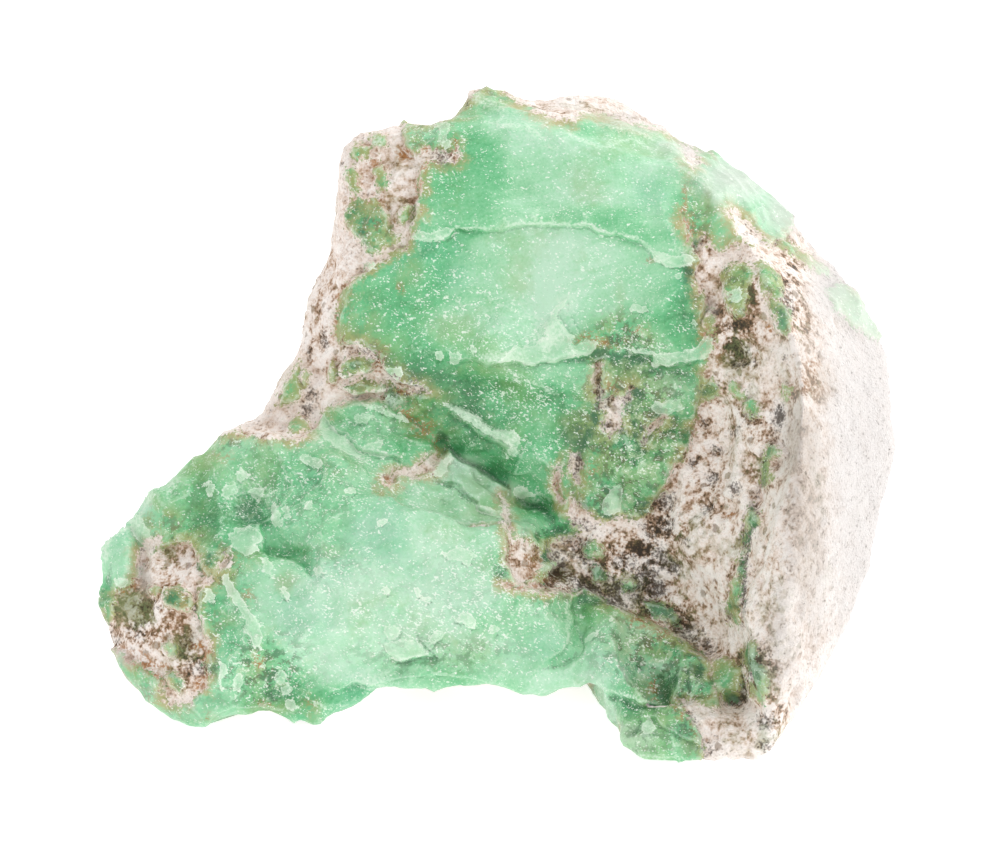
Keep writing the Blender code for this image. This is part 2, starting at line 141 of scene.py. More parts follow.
# Green stone that is left standing within the host rock.
GREEN_REMNANTS: dict[str, Patch] = {
    "crown_blob_a": ((404, 132), (412, 127), (424, 124), (434, 127), (439, 135), (438, 143), (428, 147),
        (420, 152), (414, 150), (406, 142)),
    "crown_blob_b": ((370, 136), (378, 132), (386, 137), (387, 148), (378, 152), (371, 148)),
    "crown_blob_c": ((352, 146), (360, 142), (370, 147), (368, 155), (358, 160), (352, 156)),
    "crown_blob_d": ((346, 168), (352, 164), (357, 176), (361, 190), (356, 198), (350, 190), (346, 180)),
    "crown_blob_e": ((374, 168), (382, 165), (388, 176), (388, 188), (380, 192), (374, 184)),
    "crown_big": ((345, 214), (349, 207), (352, 201), (360, 197), (366, 203), (374, 199), (382, 205),
        (388, 214), (391, 222), (390, 232), (399, 235), (394, 242), (387, 247), (380, 254), (368, 252),
        (362, 243), (352, 232), (346, 224)),
    "crown_blob_f": ((401, 212), (408, 206), (413, 208), (410, 220), (404, 226), (400, 221)),
    "strip_patch_a": ((341, 364), (350, 357), (364, 355), (374, 360), (373, 369), (360, 373), (346, 375),
        (340, 372)),
    "strip_patch_b": ((345, 387), (352, 383), (368, 379), (382, 382), (396, 388), (384, 391), (368, 391),
        (354, 394)),
    "strip_lens": ((278, 404), (282, 388), (290, 373), (299, 362), (302, 378), (300, 394), (292, 403)),
    "strip_patch_c": ((329, 372), (334, 361), (339, 370), (336, 384), (330, 383)),
    "strip_patch_d": ((303, 376), (307, 366), (311, 372), (309, 384), (304, 386)),
    "strip_patch_e": ((288, 424), (296, 416), (306, 422), (310, 430), (300, 432), (290, 430)),
    "foot_patch": ((240, 446), (262, 441), (300, 441), (330, 452), (345, 460), (330, 480), (250, 480)),
    "east_olive_a": ((722, 272), (730, 262), (742, 262), (751, 270), (752, 280), (747, 288), (750, 300),
        (744, 314), (735, 318), (729, 310), (728, 298), (722, 286)),
    "east_olive_b": ((754, 262), (764, 260), (776, 272), (784, 284), (782, 296), (772, 300), (764, 290),
        (757, 276)),
    "east_green_c": ((769, 298), (778, 299), (788, 306), (792, 318), (790, 332), (784, 337), (778, 330),
        (775, 316), (769, 306)),
    "east_green_d": ((706, 314), (712, 311), (715, 322), (716, 334), (708, 335), (704, 326)),
    "east_green_e": ((726, 384), (733, 380), (738, 388), (746, 394), (742, 399), (732, 396), (726, 390)),
    "east_green_f": ((700, 384), (708, 379), (717, 386), (719, 396), (710, 399), (700, 396)),
    "east_green_g": ((742, 402), (750, 399), (757, 406), (759, 416), (752, 420), (744, 412)),
    "east_green_h": ((780, 386), (786, 383), (789, 392), (786, 402), (781, 398)),
    "slit_green_a": ((766, 446), (774, 444), (780, 452), (772, 462), (771, 476), (764, 488), (760, 482),
        (763, 464)),
    "slit_green_c": ((745, 512), (752, 505), (760, 513), (761, 522), (754, 528), (749, 540), (748, 556),
        (742, 560), (742, 540), (745, 526)),
    "slit_green_d": ((736, 562), (744, 558), (748, 570), (744, 582), (742, 594), (744, 602), (736, 606),
        (742, 614), (740, 624), (732, 624), (727, 614), (726, 604), (730, 596), (728, 590), (731, 580),
        (738, 574)),
    "toe_lens": ((741, 650), (746, 643), (755, 640), (759, 647), (759, 660), (766, 672), (769, 690),
        (766, 702), (756, 705), (750, 696), (748, 680), (744, 664)),
    "valley_green_a": ((582, 545), (596, 540), (606, 546), (603, 556), (592, 558), (584, 553)),
    "valley_green_b": ((590, 570), (600, 564), (607, 572), (604, 582), (594, 582)),
    "valley_green_c": ((622, 583), (632, 579), (638, 586), (632, 592), (624, 592)),
    "valley_green_d": ((644, 603), (656, 602), (668, 606), (676, 616), (680, 626), (668, 624), (656, 618),
        (646, 612)),
    "valley_green_e": ((540, 561), (550, 558), (557, 564), (550, 570), (541, 572)),
    "east_moss_a": ((712, 662), (722, 656), (736, 660), (742, 672), (742, 690), (736, 702), (722, 702),
        (714, 690)),
    "left_moss_a": ((161, 596), (167, 587), (179, 585), (188, 592), (196, 602), (191, 612), (178, 613),
        (168, 606)),
    "left_moss_b": ((196, 554), (209, 556), (221, 554), (216, 564), (210, 574), (203, 571), (198, 562)),
    "left_moss_c": ((163, 644), (172, 640), (180, 648), (178, 656), (168, 656)),
    "flank_line": ((776, 239), (786, 240), (800, 249), (814, 259), (828, 268), (831, 276), (820, 273),
        (805, 263), (790, 253), (778, 246)),
    "flank_moss": ((826, 290), (838, 283), (852, 288), (868, 300), (880, 316), (886, 332), (878, 340),
        (864, 334), (848, 322), (834, 308)),
    "left_moss_d": ((166, 676), (174, 673), (184, 678), (186, 688), (178, 694), (169, 688)),
    "left_moss_e": ((101, 594), (108, 590), (116, 598), (117, 616), (110, 626), (102, 616)),
    "left_moss_f": ((146, 588), (154, 584), (161, 588), (158, 596), (149, 597)),
}

# Crushed and lifted flakes, pale because they are thin and full of cracks.
FLAKES: dict[str, Patch] = {
    "foot_sliver_a": ((244, 490), (252, 492), (262, 490), (265, 496), (259, 502), (252, 497)),
    "foot_sliver_b": ((269, 508), (275, 504), (282, 514), (280, 524), (274, 518)),
    "foot_sliver_c": ((284, 504), (290, 508), (289, 518), (284, 514)),
    "foot_sliver_d": ((261, 560), (267, 556), (273, 566), (271, 578), (264, 572)),
    "foot_sliver_e": ((280, 586), (286, 583), (290, 592), (287, 600), (281, 596)),
    "foot_sliver_f": ((315, 567), (321, 564), (324, 572), (318, 577)),
    "foot_sliver_g": ((376, 520), (384, 517), (390, 520), (384, 525), (377, 525)),
    "foot_sliver_h": ((205, 486), (211, 480), (216, 488), (213, 498), (207, 496)),
    "foot_sliver_i": ((340, 492), (350, 488), (356, 493), (348, 498)),
    "left_rim_chip": ((126, 522), (132, 514), (142, 518), (150, 532), (154, 546), (148, 556), (140, 546),
        (133, 534)),
    "crown_chip": ((434, 122), (448, 122), (447, 138), (450, 147), (445, 152), (440, 144), (438, 132)),
    "strip_chip": ((349, 256), (358, 254), (368, 257), (377, 262), (371, 268), (362, 271), (354, 266)),
    "strip_chip_b": ((348, 344), (360, 343), (368, 348), (366, 353), (352, 349)),
    "step_chip_w": ((409, 238), (420, 232), (434, 230), (449, 228), (455, 230), (450, 236), (440, 240),
        (424, 241)),
    "step_chip_e": ((650, 248), (660, 252), (676, 255), (690, 256), (697, 262), (684, 267), (668, 268),
        (658, 262)),
    "ledge_chip": ((546, 322), (556, 316), (563, 322), (568, 330), (575, 334), (573, 342), (570, 349),
        (577, 354), (566, 358), (557, 362), (536, 364), (515, 362), (498, 362), (505, 352), (530, 346),
        (545, 338)),
    "ledge_arm": ((549, 318), (556, 306), (561, 299), (569, 297), (565, 304), (559, 311), (558, 318)),
    "ledge_right": ((572, 345), (585, 342), (599, 345), (596, 350), (586, 354), (577, 356)),
    "ledge_far": ((652, 360), (656, 351), (668, 351), (690, 350), (698, 345), (706, 336), (714, 338),
        (712, 350), (707, 359), (695, 361), (680, 363), (668, 367), (656, 366)),
    "ledge_low": ((632, 349), (645, 348), (658, 350), (650, 354), (634, 354)),
    "lens_a": ((628, 311), (636, 305), (645, 304), (653, 307), (645, 311), (632, 313)),
    "dot_a": ((688, 324), (694, 321), (698, 325), (692, 328)),
    "dot_b": ((672, 276), (677, 274), (680, 278), (675, 280)),
    "groove_chip": ((443, 403), (455, 408), (466, 412), (480, 420), (492, 428), (502, 430), (512, 428),
        (520, 436), (522, 446), (514, 446), (500, 440), (484, 432), (470, 424), (460, 416), (448, 410)),
    "groove_chip_b": ((506, 450), (514, 447), (521, 452), (516, 458), (508, 457)),
    "trough_chip": ((512, 491), (517, 486), (530, 488), (536, 494), (524, 497), (514, 497)),
    "slab_tip": ((432, 476), (437, 466), (443, 458), (450, 452), (452, 460), (446, 470), (440, 478)),
    "slab_low": ((475, 505), (483, 506), (500, 512), (502, 519), (488, 516), (477, 511)),
    "oval_chip_a": ((360, 404), (372, 406), (390, 409), (402, 415), (411, 423), (402, 422), (390, 415),
        (372, 411)),
    "oval_chip_b": ((352, 418), (360, 413), (372, 417), (366, 423), (356, 424)),
    "oval_chip_c": ((361, 447), (370, 441), (383, 441), (378, 449), (388, 456), (398, 459), (384, 459),
        (371, 456)),
    "wedge_chip": ((318, 416), (324, 412), (331, 420), (337, 430), (346, 441), (355, 446), (362, 455),
        (348, 455), (336, 448), (326, 440), (320, 430)),
    "foot_chip_a": ((234, 478), (240, 471), (241, 465), (245, 473), (251, 476), (241, 482)),
    "foot_chip_b": ((220, 486), (234, 482), (236, 491), (229, 498), (222, 495)),
    "foot_chip_c": ((248, 491), (256, 488), (266, 490), (262, 501), (253, 497)),
    "foot_chip_d": ((236, 528), (250, 525), (262, 530), (262, 540), (254, 544), (258, 552), (246, 556),
        (236, 551), (230, 541)),
    "foot_chip_e": ((268, 508), (276, 502), (279, 509), (271, 514)),
    "foot_chip_f": ((270, 521), (282, 516), (284, 522), (276, 528)),
    "foot_chip_g": ((299, 459), (306, 455), (318, 457), (324, 463), (320, 470), (311, 468)),
    "foot_chip_h": ((305, 502), (311, 499), (313, 510), (307, 513)),
    "foot_chip_i": ((316, 567), (321, 565), (324, 573), (318, 577)),
    "mint_chip_a": ((441, 551), (455, 548), (470, 550), (476, 556), (468, 567), (460, 562), (446, 558)),
    "mint_chip_b": ((454, 619), (462, 612), (472, 612), (479, 618), (478, 629), (472, 628), (466, 622)),
    "mint_chip_c": ((385, 633), (388, 626), (396, 625), (402, 632), (398, 638), (389, 640)),
    "mint_chip_d": ((385, 655), (388, 640), (400, 640), (416, 644), (432, 650), (429, 656), (405, 660),
        (388, 660)),
    "mint_chip_e": ((430, 636), (438, 631), (446, 634), (442, 641), (433, 642)),
    "mint_chip_f": ((381, 589), (386, 585), (390, 591), (385, 595)),
    "mint_chip_g": ((416, 590), (421, 587), (423, 595), (418, 597)),
    "mint_chip_h": ((423, 599), (430, 596), (434, 600), (427, 605)),
    "mint_chip_i": ((490, 627), (496, 624), (500, 631), (494, 636), (490, 633)),
    "dark_chip_a": ((276, 671), (282, 668), (286, 676), (281, 684), (276, 680)),
    "dark_chip_b": ((281, 688), (288, 684), (294, 690), (288, 698), (281, 696)),
    "dark_chip_c": ((285, 702), (296, 700), (299, 708), (290, 713), (285, 709)),
    "streak_a": ((219, 661), (226, 664), (223, 676), (223, 688), (217, 677)),
    "streak_b": ((233, 676), (240, 672), (244, 680), (238, 690), (233, 686)),
    "streak_c": ((222, 574), (229, 572), (235, 584), (240, 598), (250, 611), (258, 622), (263, 634),
        (262, 648), (256, 650), (250, 640), (245, 624), (236, 607), (227, 592)),
    "lump_chip": ((114, 580), (122, 578), (128, 582), (124, 588), (117, 586)),
    "moss_chip": ((203, 590), (210, 587), (214, 596), (211, 605), (205, 600)),
    "lobe_rim_a": ((609, 618), (614, 613), (621, 611), (618, 617), (612, 622)),
    "lobe_rim_b": ((585, 640), (592, 631), (602, 629), (596, 638), (588, 645)),
    "lobe_chip_c": ((640, 724), (650, 720), (656, 728), (652, 736), (644, 737)),
    "green_pale": ((602, 512), (605, 498), (612, 488), (622, 483), (622, 498), (618, 512), (609, 518)),
    "green_pale_b": ((652, 401), (662, 404), (680, 400), (682, 408), (668, 414), (656, 414), (650, 408)),
    "olive_hole": ((728, 292), (734, 287), (742, 290), (743, 298), (735, 303), (729, 300)),
    "sand_chip_a": ((434, 352), (440, 351), (444, 357), (438, 361), (432, 358)),
    "sand_chip_b": ((447, 360), (450, 352), (458, 350), (463, 357), (458, 364), (452, 363)),
    "sand_chip_c": ((469, 349), (474, 346), (478, 350), (473, 354)),
    "valley_pale": ((560, 566), (572, 562), (586, 566), (592, 574), (584, 580), (570, 574)),
    "tip_pale": ((382, 370), (392, 366), (400, 364), (403, 373), (397, 381), (388, 377)),
}

# The lines of the broken face: ledges, ridges, grooves and the borders of steps.
EDGES: dict[str, Patch] = {
    "panel_step": ((413, 241), (440, 241), (450, 236), (456, 230), (480, 230), (500, 229), (508, 226),
        (540, 225), (580, 226), (600, 231), (620, 237), (640, 240), (652, 250), (660, 262), (675, 268),
        (688, 264)),
    "ledge_foot": ((432, 360), (448, 360), (466, 360), (500, 363), (535, 364), (557, 362), (566, 358),
        (577, 356), (590, 354), (598, 347), (608, 344)),
    "ledge_front": ((552, 312), (558, 318), (564, 323), (569, 331), (576, 335), (572, 345), (577, 355)),
    "curved_ridge": ((470, 352), (500, 364), (515, 374), (540, 385), (562, 397), (586, 397)),
    "far_ledge": ((620, 346), (634, 354), (650, 354), (656, 366), (672, 367), (690, 362), (708, 359)),
    "flake_foot": ((444, 411), (462, 420), (472, 430), (486, 438), (504, 447), (520, 450)),
    "flake_head": ((443, 402), (466, 411), (482, 420), (502, 431), (514, 429)),
    "slab_edge": ((434, 462), (448, 449), (462, 458), (476, 468), (492, 478), (505, 487), (514, 490)),
    "slab_foot": ((430, 479), (446, 482), (459, 488), (469, 497), (477, 504), (478, 510), (502, 520)),
    "trough_foot": ((514, 498), (524, 505), (536, 512), (546, 520), (560, 521)),
    "crescent_rim": ((257, 551), (266, 555), (280, 557), (293, 560), (302, 567), (308, 575), (317, 581)),
    "crescent_head": ((264, 528), (264, 540), (262, 550)),
    "tongue_edge": ((570, 590), (568, 602), (571, 616), (569, 634), (562, 650), (547, 665)),
    "tongue_right": ((600, 626), (590, 630), (583, 642), (584, 656), (574, 664), (556, 669)),
    "lobe_step": ((604, 691), (620, 698), (640, 703), (662, 707)),
    "lobe_layer": ((636, 704), (641, 718), (641, 732), (624, 734)),
    "lobe_layer_b": ((641, 722), (656, 718), (670, 730), (690, 742), (703, 748)),
    "valley_floor": ((520, 505), (545, 522), (562, 545), (580, 570), (600, 590), (622, 602), (650, 606),
        (676, 622), (704, 640), (722, 668)),
    "slit": ((776, 430), (768, 462), (761, 490), (753, 514), (746, 540), (743, 566), (736, 592), (733, 612)),
    "strip_step": ((384, 262), (368, 268), (352, 284), (343, 300), (338, 320), (340, 342), (362, 352),
        (378, 366), (398, 384), (432, 394)),
    "crown_step": ((404, 126), (408, 146), (420, 166), (420, 200), (413, 232)),
    "oval_edge": ((323, 411), (335, 427), (346, 441), (362, 450), (386, 458), (412, 461)),
    "oval_top": ((323, 410), (350, 402), (384, 400), (410, 420), (432, 436)),
    "foot_shelf_a": ((384, 653), (405, 660), (430, 657), (440, 656)),
    "foot_shelf_b": ((322, 690), (340, 688), (356, 684), (372, 690)),
    "foot_shelf_c": ((412, 634), (424, 642), (434, 651), (441, 662)),
    "facet_ridge": ((222, 452), (216, 480), (222, 520), (227, 550)),
    "facet_left": ((186, 470), (180, 498), (188, 524), (198, 548)),
    "dark_spot_edge": ((232, 505), (238, 496), (250, 494), (262, 500), (270, 508), (270, 520), (262, 527),
        (246, 524), (234, 516)),
    "sand_edge_left": ((142, 566), (152, 552), (186, 541), (198, 560), (204, 577), (197, 600), (204, 636),
        (206, 660), (208, 688)),
    "lump_edge": ((120, 529), (132, 533), (140, 546), (142, 562), (139, 578), (130, 588), (114, 590)),
    "foot_right_lip": ((478, 510), (500, 520), (506, 545), (512, 575), (530, 588), (566, 594)),
    "east_edge": ((684, 216), (694, 240), (700, 262), (694, 276), (704, 298), (704, 320)),
    "east_edge_b": ((706, 362), (706, 384), (698, 410), (688, 444), (668, 480), (650, 511), (630, 519)),
    "ridge_line": ((560, 129), (582, 141), (602, 147), (622, 140), (640, 142), (662, 155), (690, 171),
        (706, 186), (726, 206), (746, 236)),
}


class Wash(NamedTuple):
    """A soft oval of one quality on the chart: its centre, its half widths in marks, and its strength."""

    right: float
    down: float
    half_width: float
    half_height: float
    strength: float


class Nudge(NamedTuple):
    """A soft push along the chart: its centre, its half widths and how far it moves the stone."""

    right: float
    down: float
    half_width: float
    half_height: float
    move_right: float
    move_down: float


class Stroke(NamedTuple):
    """A soft line of one quality on the chart: its points, its half width in marks, and its strength."""

    points: Patch
    half_width: float
    strength: float


def washes(*rows: tuple[float, ...]) -> tuple[Wash, ...]:
    """Washes, one from each row."""
    return tuple(itertools.starmap(Wash, rows))


def strokes(*rows: tuple[Patch, float, float]) -> tuple[Stroke, ...]:
    """Strokes, one from each row."""
    return tuple(itertools.starmap(Stroke, rows))


def nudges(*rows: tuple[float, ...]) -> tuple[Nudge, ...]:
    """Nudges, one from each row."""
    return tuple(itertools.starmap(Nudge, rows))


# How deep (-1) or minty (+1) the green is: partly the stone's own clouds, and partly painted light and shade,
# deeper under ledges and on faces turned down, mintier on faces turned up. Washes are averaged where they
# meet.
TONE_WASHES = washes(
    (470, 160, 28, 34, -0.4), (470, 205, 30, 18, 0.0), (442, 158, 18, 14, -0.6), (425, 175, 14, 30, -0.1),
    (540, 180, 28, 34, 0.5), (600, 172, 50, 34, 0.68), (655, 195, 22, 44, 0.5), (648, 172, 20, 22, 0.9),
    (565, 145, 50, 18, 0.85), (600, 218, 60, 12, -0.1), (645, 234, 40, 10, -0.05), (678, 206, 10, 18, -0.2),
    (520, 128, 46, 9, 0.9), (430, 135, 16, 12, 0.3), (650, 150, 40, 12, 0.45), (600, 130, 40, 10, 0.1),
    (698, 205, 14, 30, -0.1), (725, 225, 14, 20, 0.1), (770, 222, 20, 12, 0.3), (730, 185, 24, 16, 0.8),
    (800, 255, 30, 14, -0.3), (855, 310, 30, 30, 0.5), (560, 275, 56, 44, 0.95), (510, 250, 40, 20, 0.6),
    (610, 290, 30, 34, 0.5), (618, 328, 24, 12, -0.2), (645, 285, 30, 34, 0.3), (655, 325, 26, 20, -0.1),
    (470, 275, 32, 34, 0.3), (430, 275, 24, 34, -0.2), (395, 320, 34, 34, -0.3), (460, 328, 44, 16, 0.55),
    (515, 252, 14, 16, 1.0), (500, 441, 14, 8, 1.0), (362, 330, 14, 34, -0.25), (480, 345, 34, 14, 0.3),
    (550, 300, 20, 16, 1.0), (688, 272, 10, 9, -1.0), (672, 292, 30, 9, -0.3), (690, 322, 14, 18, -0.15),
    (466, 232, 16, 5, -0.7), (418, 255, 24, 12, -0.4), (560, 377, 40, 12, 0.3), (505, 368, 26, 7, 0.1),
    (500, 384, 34, 8, -0.45), (465, 403, 30, 18, -0.6), (500, 405, 24, 16, -0.1), (535, 420, 26, 20, -0.1),
    (565, 430, 20, 28, -0.65), (440, 388, 22, 14, -0.55), (538, 474, 12, 26, 0.1), (548, 392, 14, 14, -0.5),
    (572, 402, 14, 26, 0.0), (566, 398, 22, 5, -0.7), (475, 445, 34, 12, -0.45), (500, 468, 18, 10, -0.5),
    (455, 478, 20, 14, 0.6), (490, 496, 18, 14, 0.6), (470, 462, 18, 8, 0.8), (540, 508, 18, 8, -0.5),
    (420, 420, 20, 18, -0.5), (396, 394, 12, 9, -0.8), (640, 368, 34, 12, -0.8), (660, 384, 20, 14, 0.35),
    (590, 690, 10, 14, 0.9), (640, 668, 40, 10, 0.6), (640, 408, 14, 14, -0.6), (672, 438, 16, 20, -0.6),
    (622, 452, 18, 18, -0.7), (650, 484, 14, 12, 0.05), (600, 480, 18, 24, -0.25), (595, 430, 18, 26, -0.5),
    (580, 490, 14, 18, -0.1), (642, 506, 14, 8, -0.5), (612, 500, 12, 14, 0.6), (375, 428, 36, 16, 0.35),
    (410, 368, 34, 18, -0.7), (380, 350, 20, 12, -0.8), (405, 386, 16, 8, -1.0), (385, 222, 10, 12, -1.0),
    (497, 562, 12, 18, 0.3), (318, 436, 12, 12, 0.8), (345, 420, 16, 10, 0.2), (410, 446, 14, 10, 0.0),
    (204, 505, 13, 36, -0.45), (225, 446, 40, 10, 0.6), (165, 470, 26, 12, 0.5), (270, 505, 14, 14, 0.5),
    (170, 508, 14, 24, 0.0), (240, 470, 26, 20, 0.1), (250, 513, 20, 13, -0.75), (292, 488, 34, 26, 0.1),
    (340, 500, 40, 26, 0.2), (330, 530, 34, 20, 0.35), (420, 505, 50, 24, 0.6), (420, 590, 80, 50, 0.95),
    (480, 540, 44, 30, 0.85), (530, 615, 34, 34, 0.3), (500, 660, 40, 16, 0.6), (262, 665, 18, 24, -0.2),
    (380, 534, 36, 20, 0.9), (305, 610, 30, 34, 0.65), (350, 640, 36, 24, 0.85), (325, 580, 20, 20, 0.75),
    (236, 640, 14, 40, 0.15), (215, 695, 20, 12, 0.3), (280, 692, 20, 14, -0.55), (410, 662, 30, 8, 0.35),
    (440, 676, 24, 10, 0.1), (283, 553, 24, 5, -0.6), (306, 570, 9, 9, -0.2), (556, 658, 16, 10, 0.3),
    (485, 622, 18, 12, 0.2), (540, 598, 24, 10, 0.2), (575, 632, 12, 26, 0.2), (122, 562, 14, 20, 0.7),
    (135, 512, 16, 20, 0.8), (116, 610, 8, 26, -0.3), (175, 714, 44, 10, 0.6), (330, 694, 10, 5, -0.3),
    (355, 690, 14, 5, -0.3), (622, 640, 24, 26, 0.5), (600, 668, 14, 18, 0.8), (602, 712, 16, 16, 0.95),
    (622, 738, 18, 14, 0.95), (642, 742, 16, 10, 1.0), (565, 678, 24, 8, 0.7), (640, 690, 24, 10, 0.1),
    (636, 712, 26, 10, -0.35), (672, 744, 22, 12, 0.15), (675, 650, 30, 8, -0.6), (680, 676, 10, 12, 0.1),
    (560, 545, 22, 14, -0.8), (545, 566, 10, 6, 0.4), (590, 608, 24, 10, -0.3), (630, 606, 18, 8, -0.4),
    (756, 655, 12, 22, -1.0), (760, 694, 9, 10, 0.2), (725, 680, 16, 22, -0.4), (772, 430, 8, 30, -0.5),
    (752, 520, 10, 30, -0.7), (735, 586, 8, 12, 0.1), (735, 606, 9, 8, -0.6), (736, 290, 16, 26, -0.5),
    (770, 285, 14, 18, -0.2), (782, 318, 14, 18, -0.5), (372, 228, 20, 22, -0.65), (421, 136, 18, 14, 0.1),
    (356, 372, 20, 10, -0.35), (368, 386, 30, 5, -0.45), (290, 385, 12, 20, -0.2), (178, 602, 18, 10, -0.7),
    (176, 684, 12, 12, -0.4), (109, 608, 10, 20, -0.6), (212, 594, 16, 10, -0.2), (210, 562, 12, 10, -0.85),
)

# Chips and facets whose green is deeper (-1) or mintier (+1) than round them, up to their own edges.
# Some deep ones are painted shade, under rims and on facets turned away from the light.
TONE_PATCHES: tuple[tuple[float, Patch], ...] = (
    (-0.25, ((188, 470), (200, 462), (210, 470), (218, 490), (222, 520), (221, 545), (208, 545), (196, 548),
        (190, 530), (184, 505))),
    (-0.35, EDGES["dark_spot_edge"]),
    (-0.15, ((330, 412), (352, 404), (386, 402), (410, 420), (428, 436), (420, 450), (408, 459), (386, 455),
        (362, 447), (346, 438), (336, 425))),
    (-0.12, ((430, 372), (470, 362), (515, 384), (548, 400), (575, 402), (560, 440), (548, 480), (520, 470),
        (490, 440), (450, 408), (428, 392))),
    (-0.2, ((442, 436), (450, 420), (462, 424), (486, 440), (510, 452), (530, 470), (545, 492), (520, 488),
        (505, 484), (480, 468), (456, 450))),
    (0.45, ((434, 462), (448, 450), (476, 468), (505, 488), (514, 492), (505, 505), (478, 500), (459, 484),
        (446, 478), (432, 474))),
    (-0.5, ((602, 690), (620, 694), (645, 700), (660, 706), (668, 716), (660, 716), (640, 708), (620, 706),
        (606, 700))),
    (0.5, ((600, 704), (622, 708), (642, 714), (640, 730), (628, 745), (608, 728))),
    (-0.15, ((570, 590), (590, 598), (612, 606), (616, 618), (600, 616), (588, 632), (580, 648), (572, 664),
        (552, 668), (545, 660), (560, 652), (572, 640), (570, 615))),
    (-0.3, ((690, 270), (704, 298), (703, 330), (712, 338), (700, 346), (680, 350), (660, 330), (668, 300))),
    (-0.3, ((556, 402), (590, 398), (600, 420), (604, 440), (590, 452), (575, 450), (560, 440))),
    (-0.35, ((416, 243), (440, 243), (456, 236), (480, 234), (470, 250), (440, 262), (415, 262))),
    (0.45, ((704, 184), (716, 190), (734, 212), (746, 238), (732, 240), (720, 222), (708, 204))),
    (-0.25, ((206, 600), (218, 596), (236, 620), (240, 650), (226, 660), (208, 650))),
    (-0.3, ((640, 304), (668, 300), (690, 296), (690, 318), (660, 326), (640, 322))),
)

# Olive, where iron has stained the green stone.
OLIVE_WASHES = washes(
    (612, 342, 44, 12, 0.9), (672, 700, 24, 24, 0.6), (440, 142, 14, 16, 0.7), (462, 114, 20, 8, 0.5),
    (395, 168, 12, 20, 0.4), (420, 178, 8, 26, 0.4), (366, 322, 16, 22, 0.6), (392, 402, 18, 10, 0.6),
    (448, 412, 14, 22, 0.6), (512, 505, 16, 16, 0.5), (240, 560, 26, 12, 0.6), (285, 580, 14, 12, 0.5),
    (218, 620, 20, 12, 0.5), (142, 676, 26, 12, 0.5), (205, 720, 16, 8, 0.6), (275, 709, 24, 8, 0.6),
    (310, 712, 14, 14, 0.6), (635, 340, 24, 14, 0.7), (600, 345, 22, 16, 0.6), (580, 430, 20, 36, 0.6),
    (610, 498, 24, 14, 0.5), (655, 688, 22, 18, 0.7), (690, 722, 14, 18, 0.5), (424, 138, 16, 12, 0.6),
    (378, 142, 10, 9, 0.8), (361, 151, 11, 8, 0.85), (352, 182, 8, 18, 0.8), (381, 178, 9, 14, 0.6),
    (407, 216, 8, 11, 0.7), (360, 366, 20, 11, 0.7), (290, 385, 13, 22, 0.7), (370, 387, 26, 7, 0.6),
    (560, 560, 40, 20, 0.7), (640, 590, 60, 26, 0.6), (735, 390, 34, 16, 0.4), (712, 390, 12, 10, 0.6),
    (752, 408, 9, 11, 0.6), (785, 400, 8, 50, 0.6), (762, 668, 14, 30, 0.8), (725, 680, 18, 24, 0.5),
    (344, 320, 8, 44, 0.8), (358, 318, 22, 36, 0.45), (618, 332, 26, 16, 0.9), (690, 210, 7, 36, 0.8),
    (408, 262, 16, 24, 0.5), (160, 520, 24, 16, 0.95), (195, 540, 22, 14, 0.6), (240, 558, 18, 12, 0.5),
    (580, 490, 20, 18, 0.5), (625, 490, 16, 20, 0.5), (650, 690, 22, 14, 0.6), (708, 215, 20, 20, 0.5),
    (484, 98, 28, 14, 0.4), (258, 668, 14, 20, 0.5), (430, 128, 30, 12, 0.55), (390, 405, 12, 12, 0.5),
    (335, 462, 30, 18, 0.35), (840, 305, 46, 26, 0.4), (400, 640, 60, 20, 0.12), (708, 210, 5, 30, 0.7),
    (152, 508, 12, 20, 0.5), (205, 462, 26, 12, 0.5), (480, 368, 28, 7, 0.5), (418, 420, 22, 22, 0.7),
    (418, 134, 20, 10, 0.5), (598, 432, 26, 54, 0.9), (378, 372, 22, 12, 0.8), (640, 415, 50, 70, 0.6),
    (616, 346, 18, 10, 0.8), (662, 645, 44, 16, 0.8), (750, 272, 26, 10, 0.7), (692, 682, 16, 22, 0.8),
    (690, 732, 12, 24, 0.8), (738, 285, 16, 28, 0.85), (768, 285, 12, 18, 0.95), (735, 345, 24, 34, 0.9),
    (142, 608, 24, 24, 0.7), (164, 548, 18, 10, 0.6), (184, 644, 16, 26, 0.7), (178, 712, 34, 9, 0.3),
    (768, 672, 9, 20, 0.8), (778, 430, 8, 30, 0.5), (765, 470, 6, 18, 0.85), (232, 580, 6, 20, 0.8),
    (372, 228, 24, 26, 0.8), (352, 178, 8, 16, 0.8), (500, 440, 30, 16, 0.3), (620, 316, 6, 34, 0.35),
    (375, 395, 30, 12, 0.4), (600, 100, 90, 10, 0.3), (560, 545, 26, 14, 0.5), (300, 555, 30, 10, 0.2),
    (660, 570, 60, 40, 0.35), (762, 735, 6, 16, 0.9), (712, 300, 6, 60, 0.6), (325, 552, 20, 8, 0.3),
)

